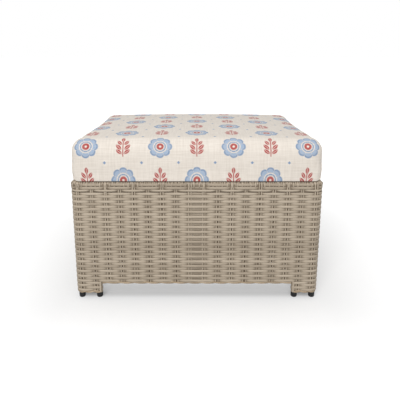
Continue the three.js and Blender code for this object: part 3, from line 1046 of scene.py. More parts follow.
def lathe(build, profile, centre, sidesAround):
    # a turned shape from (radius, height) points; the first and last have no radius
    turns = [2 * math.pi * k / sidesAround for k in range(sidesAround)]
    rings = []
    for radius, z in profile:
        if radius == 0:
            rings.append([build.verts.new((centre[0], centre[1], z))])
        else:
            rings.append([
                build.verts.new((centre[0] + radius * math.cos(turn), centre[1] + radius * math.sin(turn), z))
                for turn in turns])
    for lower, upper in zip(rings, rings[1:]):
        for k in range(sidesAround):
            a, b = lower[k % len(lower)], lower[(k + 1) % len(lower)]
            c, d = upper[(k + 1) % len(upper)], upper[k % len(upper)]
            corners = [v for i, v in enumerate((a, b, c, d)) if v not in (a, b, c, d)[:i]]
            build.faces.new(corners)


def makeGlides():
    nodes = [n for n in sorted(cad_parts) if "glide" in n]
    build = bmesh.new()
    radius, rounding, bore = glide["radius"], glide["round"], glide["tubeBore"]
    top = base["legBottom"] - glide["topGap"]
    # a rounded foot, a shoulder just under the leg, and a plug inside the tube
    for node in nodes:
        low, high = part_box(node)
        profile = [(0, low.z)]
        for k in range(glide["roundSteps"] + 1):
            angle = math.pi / 2 * k / glide["roundSteps"]
            out = radius - rounding + rounding * math.sin(angle)
            profile.append((out, low.z + rounding * (1 - math.cos(angle))))
        profile += [(radius, top - 1.2 * mm), (radius - 0.4 * mm, top - 0.4 * mm), (radius - 1.2 * mm, top)]
        profile += [(bore, top + 0.2 * mm), (bore, high.z - 1 * mm), (bore - 0.8 * mm, high.z), (0, high.z)]
        lathe(build, profile, ((low.x + high.x) / 2, (low.y + high.y) / 2), glide["sides"])
    bmesh.ops.recalc_face_normals(build, faces=build.faces)
    mesh = meshFrom(build, "glides", glideMaterial(), glide["sharpAngle"])
    finishPiece("glides", mesh, "base", nodes)
    print("glides turned", len(nodes))


makeFrame()
makeGlides()


# The cushion: one panel runs from the front over the top to the back and under, and a gusset closes each side

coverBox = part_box("cushion_cover")
cushion = {
    "halfX": 327.3 * mm,
    "front": coverBox[0].y + 0.2 * mm,
    "back": coverBox[1].y - 1.9 * mm,
    "bottom": coverBox[0].z + 0.2 * mm,
    "edge": 108 * mm,  # height of its sides, below the crown
    "crown": 8 * mm,
    "topRadius": 37 * mm,
    "bottomRadius": 2.5 * mm,
    "planRadius": 30 * mm,
    "lowPlanRadius": 18 * mm,
    "planRise": (4 * mm, 48 * mm),  # where the lower radius grows into the upper one
    "drawIn": 4 * mm,
    "drawInRise": 30 * mm,
    "startInset": 2.5 * mm,
    "seamAngle": math.radians(64),
    "stations": 92,
    "capSteps": 7,
    "cornerSteps": 24,
    "deepSteps": 72,
    "highSteps": 16,
    "seamBand": 2.4 * mm,
    "seamDepth": 1.3 * mm,
    "gussetEdge": 24 * mm,
    "lowIn": 6.0 * mm,
    "lowHigh": 46 * mm,
    "lowReach": 70 * mm,
    "backSag": 4.0 * mm,
    "backIn": 3.5 * mm,
}
swelling = {
    "frames": 20,
    "quality": 6,
    "mass": 0.25,
    "pressure": 4.0,
    "extraCloth": 0.012,
    "cap": 5.0 * mm,
    "stiffness": 12.0,
    "shear": 4.0,
    "bending": 4.0,
    "held": (0.25, 0.17),  # half sizes of the part of the underside that lies still
    "pressed": 30 * mm,
    "pressedShare": 0.1,  # of the swell, at the edge that lies on the rim
}
zipGroove = {"half": 7 * mm, "depth": 2.2 * mm, "ends": (0.262, 0.275), "fromBack": (30 * mm, 12 * mm)}


def sectionLine(low, high, bottom, top, bottomRadius, topRadius):
    # the cushion's section from front to back, from the middle of its back bottom corner, round by the bottom
    def corner(centre, radius, start, end):
        count = cushion["cornerSteps"]
        for k in range(count + 1):
            angle = math.radians(start + (end - start) * k / count)
            normal = np.array([math.cos(angle), math.sin(angle)])
            yield np.array(centre) + radius * normal, normal

    rb, rt = bottomRadius, topRadius
    line = list(corner((high - rb, bottom + rb), rb, -45, -90))
    line += list(corner((low + rb, bottom + rb), rb, 270, 180))
    line += list(corner((low + rt, top - rt), rt, 180, 90))
    line += list(corner((high - rt, top - rt), rt, 90, 0))
    line += list(corner((high - rb, bottom + rb), rb, 0, -45))
    return line


def cornerMarks(line):
    # where each corner's middle lies, as a length along the line
    spots = np.array([p for p, _ in line])
    steps = np.r_[0, np.cumsum(np.linalg.norm(np.diff(spots, axis=0), axis=1))]
    corner, middle = cushion["cornerSteps"] + 1, cushion["cornerSteps"] // 2
    return steps, [0.0, *(steps[k * corner + middle] for k in (1, 2, 3)), steps[-1]]


def evenSteps(count, band, length):
    # even shares along a side, with one narrow step at each end beside the seam
    inner = np.linspace(band / length, 1 - band / length, count - 1)
    return np.r_[0.0, inner, 1.0]


def sectionPoints():
    c = cushion
    inset = c["startInset"]
    line = sectionLine(
        c["front"] + inset, c["back"] - inset, c["bottom"] + inset * 0.2, c["bottom"] + c["edge"] - inset,
        c["bottomRadius"], c["topRadius"])
    steps, marks = cornerMarks(line)
    counts = [c["deepSteps"], c["highSteps"], c["deepSteps"], c["highSteps"]]
    wanted = []
    for start, end, count in zip(marks, marks[1:], counts):
        wanted += [start + (end - start) * s for s in evenSteps(count, c["seamBand"], end - start)[:-1]]
    spots = np.array([p for p, _ in line])
    normals = np.array([n for _, n in line])
    places = np.stack([np.interp(wanted, steps, spots[:, k]) for k in (0, 1)], 1)
    facing = np.stack([np.interp(wanted, steps, normals[:, k]) for k in (0, 1)], 1)
    facing /= np.linalg.norm(facing, axis=1)[:, None]
    return places, facing, np.array(wanted), marks


def softStep(x, low, high):
    t = np.clip((x - low) / (high - low), 0, 1)
    return t * t * (3 - 2 * t)


def makeCoverMesh():
    c = cushion
    places, facing, lengths, marks = sectionPoints()
    halfX = c["halfX"] - c["startInset"]
    middle = (c["front"] + c["back"]) / 2
    halfY = (c["back"] - c["front"]) / 2
    grown = softStep(places[:, 1], c["bottom"] + c["planRise"][0], c["bottom"] + c["planRise"][1])
    radius = c["lowPlanRadius"] + (c["planRadius"] - c["lowPlanRadius"]) * grown
    besideSeam = c["seamAngle"] - c["seamBand"] / c["planRadius"]
    angles = np.r_[np.linspace(0, besideSeam, c["capSteps"]), c["seamAngle"]]
    rings = []
    shares = []
    for angle in angles[::-1]:
        rings.append((-(halfX - radius * (1 - math.sin(angle))), radius * (1 - math.cos(angle))))
        shares.append(-(halfX - radius) - radius * angle)
    for k in range(1, c["stations"]):
        rings.append(((halfX - radius) * (2 * k / c["stations"] - 1), np.zeros_like(radius)))
        shares.append(rings[-1][0])
    for angle in angles:
        rings.append((halfX - radius * (1 - math.sin(angle)), radius * (1 - math.cos(angle))))
        shares.append(halfX - radius + radius * angle)
    spots = []
    for x, inset in rings:
        y = places[:, 0] - facing[:, 0] * inset
        z = places[:, 1] - facing[:, 1] * inset
        level = 1 - np.clip(x / halfX, -1, 1) ** 2
        rise = c["crown"] * level * (1 - ((y - middle) / halfY) ** 2) * np.clip(facing[:, 1], 0, 1)
        free = softStep(z, c["bottom"], c["bottom"] + c["drawInRise"])
        pull = c["drawIn"] * level * np.clip(-facing[:, 0], 0, 1) * free
        spots.append(np.stack([np.broadcast_to(x, y.shape), y + pull, z + rise], 1))
    around = len(places)
    build = bmesh.new()
    uv = build.loops.layers.uv.new("panel")
    seam = build.verts.layers.float.new("seam")
    grid = [[build.verts.new(p) for p in ring] for ring in spots]
    for i in range(len(grid) - 1):
        for k in range(around):
            n = (k + 1) % around
            face = build.faces.new((grid[i][k], grid[i + 1][k], grid[i + 1][n], grid[i][n]))
            ends = lengths[k], lengths[n] if n else marks[-1]
            corners = ((i, k, 0), (i + 1, k, 0), (i + 1, n, 1), (i, n, 1))
            for loop, (ring, spot, end) in zip(face.loops, corners):
                loop[uv].uv = (shares[ring][spot], ends[end] - marks[1])
    for side, ring in ((-1, grid[0]), (1, grid[-1])):
        for vert in ring:
            vert[seam] = 1.0
        addGusset(build, uv, ring, side, halfX)
    bmesh.ops.recalc_face_normals(build, faces=build.faces)
    return meshFrom(build, "cover")


def addGusset(build, uv, ring, side, halfX):
    # a grid filled in between the seam's four stretches
    c = cushion
    deep, high = c["deepSteps"], c["highSteps"]
    bottomEdge = [ring[k] for k in range(0, deep + 1)][::-1]
    frontEdge = [ring[k] for k in range(deep, deep + high + 1)]
    topEdge = [ring[k] for k in range(deep + high, 2 * deep + high + 1)]
    backEdge = ([ring[k] for k in range(2 * deep + high, 2 * deep + 2 * high)] + [ring[0]])[::-1]
    width = c["back"] - c["front"]
    us = evenSteps(deep, c["seamBand"], width)
    vs = evenSteps(high, c["seamBand"], c["edge"])
    p00, p10 = np.array(bottomEdge[0].co), np.array(bottomEdge[-1].co)
    p01, p11 = np.array(topEdge[0].co), np.array(topEdge[-1].co)
    bulge = c["planRadius"] * (1 - math.sin(c["seamAngle"]))
    grid = []
    for j, v in enumerate(vs):
        row = []
        for i, u in enumerate(us):
            if j == 0:
                row.append(bottomEdge[i])
            elif j == high:
                row.append(topEdge[i])
            elif i == 0:
                row.append(frontEdge[j])
            elif i == deep:
                row.append(backEdge[j])
            else:
                spot = (1 - v) * np.array(bottomEdge[i].co) + v * np.array(topEdge[i].co)
                spot += (1 - u) * np.array(frontEdge[j].co) + u * np.array(backEdge[j].co)
                spot -= (1 - u) * (1 - v) * p00 + u * (1 - v) * p10 + (1 - u) * v * p01 + u * v * p11
                nearU = min(min(u, 1 - u) * width / c["gussetEdge"], 1)
                nearV = min(min(v, 1 - v) * c["edge"] / c["gussetEdge"], 1)
                spot[0] += side * bulge * (1 - (1 - nearU) ** 2) * (1 - (1 - nearV) ** 2)
                spot[0] -= side * c["drawIn"] * 4 * u * (1 - u) * math.sin(math.pi * v)
                row.append(build.verts.new(spot))
        grid.append(row)
    for j in range(high):
        for i in range(deep):
            corners = [grid[j][i], grid[j][i + 1], grid[j + 1][i + 1], grid[j + 1][i]]
            face = build.faces.new(corners)
            for loop in face.loops:
                spot = loop.vert.co
                loop[uv].uv = (side * (halfX + spot.y - c["front"]), spot.z - c["bottom"])


def pointsOf(mesh, kind="co"):
    values = np.empty(len(mesh.vertices) * 3)
    mesh.vertices.foreach_get(kind, values)
    return values.reshape(-1, 3)


def seamOf(mesh):
    values = np.empty(len(mesh.vertices))
    mesh.attributes["seam"].data.foreach_get("value", values)
    return values


def swell(piece):
    # cloth with pressure inside; the seams have no spare cloth, so they gather the panels a little
    start = pointsOf(piece.data)
    low = cushion["bottom"] + cushion["startInset"]
    heldX, heldY = swelling["held"]
    still = (start[:, 2] < low) & (np.abs(start[:, 0]) < heldX) & (np.abs(start[:, 1]) < heldY)
    groups = []
    for name, chosen in (("held", still), ("taut", seamOf(piece.data) > 0.5)):
        groups.append(piece.vertex_groups.new(name=name))
        groups[-1].add(np.flatnonzero(chosen).tolist(), 1.0, "REPLACE")
    cloth = piece.modifiers.new("swell", "CLOTH")
    facts = cloth.settings
    facts.quality = swelling["quality"]
    facts.mass = swelling["mass"]
    facts.tension_stiffness = facts.compression_stiffness = swelling["stiffness"]
    facts.shear_stiffness = swelling["shear"]
    facts.bending_stiffness = swelling["bending"]
    facts.use_pressure = True
    facts.uniform_pressure_force = swelling["pressure"]
    facts.vertex_group_mass = "held"
    facts.vertex_group_shrink = "taut"
    facts.shrink_min = -swelling["extraCloth"]
    facts.shrink_max = 0.0
    facts.effector_weights.gravity = 0
    cloth.collision_settings.use_collision = False
    cloth.point_cache.frame_start = 1
    cloth.point_cache.frame_end = swelling["frames"]
    scene = bpy.context.scene
    for step in range(1, swelling["frames"] + 1):
        scene.frame_set(step)
    ready = piece.evaluated_get(bpy.context.evaluated_depsgraph_get())
    move = pointsOf(ready.data) - start
    piece.modifiers.remove(cloth)
    scene.frame_set(1)
    for group in groups:
        piece.vertex_groups.remove(group)
    size = np.linalg.norm(move, axis=1)[:, None] + 1e-9
    move *= swelling["cap"] * np.tanh(size / swelling["cap"]) / size
    # the edge that lies on the rim is pressed and swells the least
    free = softStep(start[:, 2:], cushion["bottom"], cushion["bottom"] + swelling["pressed"])
    move *= swelling["pressedShare"] + (1 - swelling["pressedShare"]) * free
    piece.data.vertices.foreach_set("co", (start + move).ravel())
    swelled = np.linalg.norm(move, axis=1).max()
    print("cushion swelled by", round(float(swelled) * 1000, 1), "mm at most")


def settleCover(piece):
    # seams sink in, the underside lies flat, and the whole keeps its named size
    c = cushion
    mesh = piece.data
    spots = pointsOf(mesh) - pointsOf(mesh, "normal") * (seamOf(mesh) * c["seamDepth"])[:, None]
    low, high = spots.min(0), spots.max(0)
    want = np.array([
        [-c["halfX"], c["front"], c["bottom"]],
        [c["halfX"], c["back"], c["bottom"] + c["edge"] + c["crown"]],
    ])
    spots = want[0] + (spots - low) / (high - low) * (want[1] - want[0])
    spots[:, 2] = np.maximum(spots[:, 2], c["bottom"])
    low = (1 - softStep(spots[:, 2], c["bottom"], c["bottom"] + c["lowHigh"])) ** 1.5
    side = np.clip((np.abs(spots[:, 0]) - c["halfX"] + c["lowReach"]) / c["lowReach"], 0, 1)
    spots[:, 0] -= np.sign(spots[:, 0]) * c["lowIn"] * low * side
    # its back corners sag a little, and its sides run slightly together towards the back
    far = softStep(spots[:, 1], c["front"], c["back"])
    high = softStep(spots[:, 2], c["bottom"] + c["lowHigh"], c["bottom"] + c["edge"])
    spots[:, 2] -= c["backSag"] * far * high * (np.abs(spots[:, 0]) / c["halfX"]) ** 3
    spots[:, 0] *= 1 - c["backIn"] / c["halfX"] * far
    # the zip draws the cloth in along its line
    zipLow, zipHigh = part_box("zip_tape")
    zipZ = (zipLow.z + zipHigh.z) / 2
    beside = np.exp(-((spots[:, 2] - zipZ) / zipGroove["half"]) ** 2)
    beside *= 1 - softStep(np.abs(spots[:, 0]), *zipGroove["ends"])
    atBack = softStep(spots[:, 1], *(c["back"] - gap for gap in zipGroove["fromBack"]))
    spots[:, 1] -= zipGroove["depth"] * beside * atBack
    mesh.vertices.foreach_set("co", spots.ravel())
    mesh.update()


def makeCushion():
    piece = bpy.data.objects.new("cushion", makeCoverMesh())
    sceneCollection.objects.link(piece)
    swell(piece)
    settleCover(piece)
    finer = piece.modifiers.new("finer", "SUBSURF")
    finer.levels = finer.render_levels = 1
    ready = piece.evaluated_get(bpy.context.evaluated_depsgraph_get())
    mesh = bpy.data.meshes.new_from_object(ready)
    bpy.data.objects.remove(piece)
    mesh.materials.clear()
    mesh.materials.append(clothMaterial())
    mesh.shade_smooth()
    cover = finishPiece("cushion", mesh, "cushion", ["cushion_cover", "cushion_foam"])
    print("cushion sewn", len(mesh.polygons))


# The cloth: linen with a block print of blue rosettes and red sprigs, set like a chessboard

clothLook = {
    "linen": srgb(232, 224, 214),
    "linenDark": srgb(216, 207, 196),
    "blue": srgb(121, 147, 179),
    "blueLight": srgb(153, 174, 199),
    "red": srgb(171, 58, 56),
    "cellWide": 94 * mm,
    "cellHigh": 86 * mm,
    "shiftHigh": 40 * mm,
    "edgeSoft": 0.9 * mm,
    "edgeWander": 1.2 * mm,
    "wanderScale": 160.0,
    "slub": (16.0, 260.0),  # per metre, along a thread and across it
    "threadPitch": 0.62 * mm,
    "bumpDepth": 0.4 * mm,
    "roughness": 0.92,
    "sheen": 0.15,
}
printShapes = {
    "petals": 8,
    "rosette": 31 * mm,
    "petalDepth": 0.2,
    "petalRound": 0.55,
    "rib": 1.1 * mm,
    "paleRim": 5.0 * mm,
    "paleStart": 1 * mm,
    "ring": (15.0 * mm, 17.6 * mm),
    "centre": 3.5 * mm,  # from the ring inwards
    "heart": 9.2 * mm,
    "heartDot": 3.0 * mm,
    "leaves": [  # middle of the leaf to the side and up, half length, half width, turn in degrees
        (10.0, -14.0, 10.0, 4.6, 38), (11.0, -1.5, 10.5, 4.8, 44),
        (8.8, 11.0, 9.0, 4.4, 52), (0.0, 22.5, 9.0, 4.6, 90),
    ],
    "vein": 0.45 * mm,
    "stem": (1.3 * mm, -27 * mm, 16 * mm),
    "dot": 4.16 * mm,
}


def within(tree, distance, soft):
    # 1 inside a shape and 0 outside, from a distance that is below zero inside
    edge = add(tree, "ShaderNodeMapRange", {0: distance, 1: -soft, 2: soft, 3: 1.0, 4: 0.0})
    return edge.outputs[0]


def leafShape(tree, x, y, leaf, soft):
    # a pointed oval with a vein left blank
    side, up, half, thick = (v * mm for v in leaf[:4])
    angle = math.radians(leaf[4])
    dx, dy = minus(tree, x, side), minus(tree, y, up)
    along = plus(tree, times(tree, dx, math.cos(angle)), times(tree, dy, math.sin(angle)))
    over = minus(tree, times(tree, dy, math.cos(angle)), times(tree, dx, math.sin(angle)))
    over = absolute(tree, over)
    share = divide(tree, along, half)
    room = times(tree, oneMinus(tree, times(tree, share, share)), thick)
    inside = within(tree, minus(tree, over, room), soft)
    vein = within(tree, minus(tree, over, printShapes["vein"]), soft / 2)
    return times(tree, inside, oneMinus(tree, vein))


def blockPrint():
    # masks of the two inks, from the panel's own lengths
    shapes, soft = printShapes, clothLook["edgeSoft"]
    fineSoft = soft * 0.7
    inputs = floats("Across", "Along", "Cell wide", "Cell high")
    tree, given, result = newTree("blockPrint", "ShaderNodeTree", inputs, floats("Blue", "Pale blue", "Red"))
    column = divide(tree, given["Across"], given["Cell wide"])
    row = divide(tree, given["Along"], given["Cell high"])
    cell = plus(tree, calc(tree, "FLOOR", column), calc(tree, "FLOOR", row))
    odd = calc(tree, "FLOORED_MODULO", cell, 2.0)
    even = oneMinus(tree, odd)
    x = times(tree, minus(tree, calc(tree, "FRACT", column), 0.5), given["Cell wide"])
    y = times(tree, minus(tree, calc(tree, "FRACT", row), 0.5), given["Cell high"])
    mirrored = absolute(tree, x)

    # an even cell's rosette
    away = calc(tree, "SQRT", plus(tree, times(tree, x, x), times(tree, y, y)))
    angle = calc(tree, "ARCTAN2", y, x)
    wave = absolute(tree, calc(tree, "COSINE", times(tree, angle, shapes["petals"] / 2)))
    lobes = calc(tree, "POWER", wave, shapes["petalRound"])
    reach = times(tree, between(tree, lobes, 1 - shapes["petalDepth"], 1.0), shapes["rosette"])
    petals = within(tree, minus(tree, away, reach), soft)
    ribs = within(tree, minus(tree, times(tree, wave, away), shapes["rib"]), fineSoft)
    inner, outer = shapes["ring"]
    ring = within(tree, minus(tree, inner, away), soft)
    ring = times(tree, ring, within(tree, minus(tree, away, outer), soft))
    centre = within(tree, minus(tree, away, inner - shapes["centre"]), soft)
    pale = within(tree, minus(tree, away, minus(tree, reach, shapes["paleRim"])), soft)
    pale = times(tree, pale, within(tree, minus(tree, outer + shapes["paleStart"], away), soft))
    blue = times(tree, petals, oneMinus(tree, largest(tree, ribs, ring, centre)))
    blue = times(tree, minus(tree, blue, times(tree, pale, blue)), even)
    pale = times(tree, pale, oneMinus(tree, ribs), even)
    heart = within(tree, minus(tree, away, shapes["heart"]), soft)
    heartDot = within(tree, minus(tree, away, shapes["heartDot"]), soft)
    red = times(tree, minus(tree, heart, heartDot), even)

    # an odd cell's sprig
    leaves = [leafShape(tree, mirrored, y, leaf, soft) for leaf in shapes["leaves"]]
    thin, low, high = shapes["stem"]
    stem = within(tree, minus(tree, mirrored, thin), fineSoft)
    for past in (minus(tree, low, y), minus(tree, y, high)):
        stem = times(tree, stem, within(tree, past, soft))
    red = largest(tree, red, times(tree, largest(tree, stem, *leaves), odd))

    # a small diamond where four cells meet
    cornerX = minus(tree, mirrored, times(tree, given["Cell wide"], 0.5))
    cornerY = minus(tree, absolute(tree, y), times(tree, given["Cell high"], 0.5))
    near = plus(tree, absolute(tree, cornerX), absolute(tree, cornerY))
    blue = largest(tree, blue, within(tree, minus(tree, near, shapes["dot"]), soft))
    for name, value in (("Blue", blue), ("Pale blue", pale), ("Red", red)):
        tree.links.new(value, result[name])
    return tree


def clothMaterial():
    look = clothLook
    material, tree, shader = newMaterial("printedLinen")
    place = add(tree, "ShaderNodeUVMap", uv_map="panel").outputs[0]
    frayed = addUp(tree, place, wander(tree, place, look["wanderScale"], look["edgeWander"]))
    spot = partsOf(tree, frayed)
    # whole cells are added, so that the print counts from a place outside the panel
    printed = add(tree, "ShaderNodeGroup", {
        "Across": plus(tree, spot["X"], look["cellWide"] * 40.5),
        "Along": plus(tree, spot["Y"], look["cellHigh"] * 40 + look["shiftHigh"]),
        "Cell wide": look["cellWide"], "Cell high": look["cellHigh"],
    }, node_tree=blockPrint()).outputs
    few, many = look["slub"]
    weft, warp = [noiseOf(tree, combine(tree, "MULTIPLY", place, stretch), 1.0, 3.0, 0.68)["Fac"]
                  for stretch in ((few, many, 1.0), (many, few, 1.0))]
    slub = times(tree, plus(tree, weft, warp), 0.5)
    colour = ramp(tree, slub, [(0.36, look["linenDark"]), (0.62, look["linen"])])
    ink = add(tree, "ShaderNodeMapRange", {0: slub, 1: 0.3, 2: 0.62, 3: 0.72, 4: 1.0}).outputs[0]
    for name, tint in (("Blue", "blue"), ("Pale blue", "blueLight"), ("Red", "red")):
        colour = mixColour(tree, times(tree, printed[name], ink), colour, look[tint])
    threads = partsOf(tree, scaled(tree, place, math.pi / look["threadPitch"]))
    over = times(tree, calc(tree, "SINE", threads["X"]), calc(tree, "SINE", threads["Y"]))
    height = plus(tree, times(tree, over, 0.25), slub)
    fill(tree, shader, {
        "Base Color": colour,
        "Normal": bump(tree, height, 0.5, look["bumpDepth"]),
        "Roughness": look["roughness"],
        "Specular IOR Level": 0.2,
        "Sheen Weight": look["sheen"],
    })
    return material


makeCushion()


# The zip across the back: a tape with welts beside it, teeth from a tree, and a slider with its pull

zipLook = {
    "colour": srgb(205, 196, 182),
    "toothColour": srgb(184, 176, 162),
    "toothPitch": 1.9 * mm,
    "toothSize": (1.15 * mm, 1.0 * mm, 2.3 * mm),
    "stagger": 0.55 * mm,
    "teethInset": 4 * mm,  # from the tape's ends
    "tapeDepth": 1.6 * mm,
    "weltDepth": 0.5 * mm,
    "welt": 1.6 * mm,
    "stop": (1.2 * mm, 1 * mm, 2 * mm),
    "stopInset": 2 * mm,
    "ribs": 0.8 * mm,
    "tapeGrain": 700.0,
    "toothGrain": 500.0,
    "sharpAngle": math.radians(35),
}
sliderLook = {
    "colour": srgb(178, 180, 182),
    "bevel": 0.5 * mm,
    "brush": (900.0, 900.0, 120.0),  # streaks per metre, long ones up and down
    "pullWidth": 5 * mm,
    "pullThickness": 1.2 * mm,
    "pullTop": 1.5 * mm,  # below the slider's top
    "pullHole": 1.3 * mm,
    "pullSteps": 12,
    "pullBevel": 0.25 * mm,
}


def addBlock(build, low, high, bevel, segments):
    # a block with rounded edges
    made = bmesh.ops.create_cube(build, size=1.0)["verts"]
    for vert in made:
        vert.co = [low[k] + (vert.co[k] + 0.5) * (high[k] - low[k]) for k in range(3)]
    edges = list({edge for vert in made for edge in vert.link_edges})
    bmesh.ops.bevel(build, geom=edges, offset=bevel, segments=segments, affect="EDGES", profile=0.5)


def blockMesh(name, blocks, bevel, segments, material):
    build = bmesh.new()
    for low, high in blocks:
        addBlock(build, low, high, bevel, segments)
    return meshFrom(build, name, material, zipLook["sharpAngle"])


def teethTree():
    inputs = [("Path", "Geometry"), ("Tooth object", "Object"), ("Start", "Vector"), ("Count", "Int")]
    inputs += [("Step", "Vector"), ("Stagger", "Float"), ("Material", "Material")]
    tree, given, result = newTree("zipTeeth", "GeometryNodeTree", inputs, [("Mesh", "Geometry")])
    values = {"Count": given["Count"], "Start Location": given["Start"], "Offset": given["Step"]}
    line = add(tree, "GeometryNodeMeshLine", values).outputs[0]
    number = add(tree, "GeometryNodeInputIndex").outputs[0]
    side = minus(tree, times(tree, calc(tree, "FLOORED_MODULO", number, 2.0), 2.0), 1.0)
    shift = add(tree, "ShaderNodeCombineXYZ", {"Z": times(tree, side, given["Stagger"])}).outputs[0]
    line = add(tree, "GeometryNodeSetPosition", {"Geometry": line, "Offset": shift}).outputs[0]
    tooth = add(tree, "GeometryNodeObjectInfo", {"Object": given["Tooth object"]}).outputs["Geometry"]
    teeth = add(tree, "GeometryNodeInstanceOnPoints", {"Points": line, "Instance": tooth}).outputs[0]
    mesh = add(tree, "GeometryNodeRealizeInstances", {0: teeth}).outputs[0]
    mesh = add(tree, "GeometryNodeSetMaterial", {"Geometry": mesh, "Material": given["Material"]}).outputs[0]
    tree.links.new(mesh, result[0])
    return tree


def tapeMaterial():
    material, tree, shader = newMaterial("zipTape")
    place = objectPlace(tree)
    spot = partsOf(tree, scaled(tree, place, 2 * math.pi / zipLook["ribs"]))
    ribs = calc(tree, "SINE", plus(tree, spot["X"], spot["Z"]))
    level = plus(tree, times(tree, ribs, 0.2), noiseOf(tree, place, zipLook["tapeGrain"])["Fac"])
    colour = zipLook["colour"]
    fill(tree, shader, {
        "Base Color": ramp(tree, level, [(0.2, darker(colour, 0.8)), (0.7, colour)]),
        "Normal": bump(tree, level, 0.4, grainDepth),
        "Roughness": 0.85,
    })
    return material


def toothMaterial():
    material, tree, shader = newMaterial("zipTooth")
    fine = noiseOf(tree, objectPlace(tree), zipLook["toothGrain"])["Fac"]
    colour = zipLook["toothColour"]
    fill(tree, shader, {
        "Base Color": ramp(tree, fine, [(0.3, darker(colour, 0.82)), (0.6, colour)]),
        "Roughness": between(tree, fine, 0.3, 0.5),
    })
    return material


def sliderMaterial():
    # brushed metal
    material, tree, shader = newMaterial("sliderMetal")
    streaks = combine(tree, "MULTIPLY", objectPlace(tree), sliderLook["brush"])
    fine = noiseOf(tree, streaks, 1.0)["Fac"]
    colour = sliderLook["colour"]
    fill(tree, shader, {
        "Base Color": ramp(tree, fine, [(0.25, darker(colour, 0.75)), (0.65, colour)]),
        "Roughness": between(tree, fine, 0.22, 0.47),
        "Metallic": 0.9,
    })
    return material


def makeZip():
    look = zipLook
    low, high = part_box("zip_tape")
    face = low.y + look["tapeDepth"]
    middle = (low.z + high.z) / 2
    welt = look["welt"]
    tapeMesh = blockMesh("tape", [
        ((low.x, low.y, low.z), (high.x, face - look["weltDepth"], high.z)),
        ((low.x, low.y, low.z), (high.x, face, low.z + welt)),
        ((low.x, low.y, high.z - welt), (high.x, face, high.z)),
    ], 0.3 * mm, 2, tapeMaterial())
    toothLook = toothMaterial()
    half = [size / 2 for size in look["toothSize"]]
    tooth = bpy.data.objects.new(
        "tooth", blockMesh("tooth", [([-h for h in half], half)], 0.25 * mm, 1, toothLook))
    sceneCollection.objects.link(tooth)
    start = pathObject("teethStart", [[((0, 0, 0), (0, 0, 1), 0), ((0, 0, 1), (0, 0, 1), 1)]])
    count = int((high.x - low.x - 2 * look["teethInset"]) / look["toothPitch"])
    teeth = grow(start, teethTree(), {
        "Tooth object": tooth, "Count": count, "Step": (look["toothPitch"], 0.0, 0.0),
        "Start": (low.x + look["teethInset"], high.y - half[1], middle),
        "Stagger": look["stagger"], "Material": toothLook,
    })
    bpy.data.objects.remove(tooth)
    wide, deep, tall = look["stop"]
    stops = [((x - wide, face - deep, middle - tall), (x + wide, high.y + 0.3 * mm, middle + tall))
             for x in (low.x + look["stopInset"], high.x - look["stopInset"])]
    stopMesh = blockMesh("stops", stops, 0.4 * mm, 2, toothLook)
    finishPiece("zip", joinMeshes("zip", [tapeMesh, teeth, stopMesh]), "cushion", ["zip_tape"])
    print("zip fitted", count)


def makeSlider():
    # a plate with a bridge on it, and the wedge between the teeth behind it
    low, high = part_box("zip_slider")
    x, top, half = (low.x + high.x) / 2, high.z, (high.x - low.x) / 2
    bridge, wedge, front = 1.2 * mm, 2.0 * mm, high.y - 1.4 * mm
    blocks = [
        ((x - half, high.y - 2.6 * mm, top - 8 * mm), (x + half, front, top)),
        ((x - bridge, high.y - 1.8 * mm, top - 6.6 * mm), (x + bridge, high.y - 0.2 * mm, top - 1.2 * mm)),
        ((x - wedge, low.y, top - 7.4 * mm), (x + wedge, front, top - 6.2 * mm)),
    ]
    metal = sliderMaterial()
    body = blockMesh("sliderBody", blocks, sliderLook["bevel"], 3, metal)
    mesh = joinMeshes("slider", [body, pullMesh(low, high, x, metal)])
    finishPiece("slider", mesh, "slider", ["zip_slider"])
    print("slider fitted")


def pullMesh(low, high, x, material):
    # a flat tab with round ends and a hole near its lower end, which hangs from the slider's bridge
    half, hole, steps = sliderLook["pullWidth"] / 2, sliderLook["pullHole"], sliderLook["pullSteps"]
    length = high.z - sliderLook["pullTop"] - low.z
    drop = length - 2 * half
    count = 2 * (steps + 1)
    outline = []
    for start, down in ((0.0, 0.0), (math.pi, drop)):
        for k in range(steps + 1):
            angle = start + math.pi * k / steps
            outline.append((half * math.cos(angle), half * math.sin(angle) - down))
    turns = [2 * math.pi * k / count for k in range(count)]
    inner = [(hole * math.cos(angle), hole * math.sin(angle) - drop) for angle in turns]
    top = low.z + length - half
    build = bmesh.new()
    rings = []
    for y in (high.y - sliderLook["pullThickness"], high.y):
        for line in (outline, inner):
            rings.append([build.verts.new((x + px, y, top + pz)) for px, pz in line])
    outerBack, innerBack, outerFront, innerFront = rings
    for k in range(count):
        n = (k + 1) % count
        build.faces.new((outerBack[k], outerBack[n], outerFront[n], outerFront[k]))
        build.faces.new((innerBack[k], innerFront[k], innerFront[n], innerBack[n]))
        build.faces.new((outerFront[k], outerFront[n], innerFront[n], innerFront[k]))
        build.faces.new((outerBack[k], innerBack[k], innerBack[n], outerBack[n]))
    bmesh.ops.recalc_face_normals(build, faces=build.faces)
    edges = [e for e in build.edges if e.calc_face_angle(0) > math.radians(60)]
    bmesh.ops.bevel(
        build, geom=edges, offset=sliderLook["pullBevel"], segments=2, affect="EDGES", profile=0.5)
    return meshFrom(build, "pull", material)


makeZip()
makeSlider()


# Stage, lamp and camera

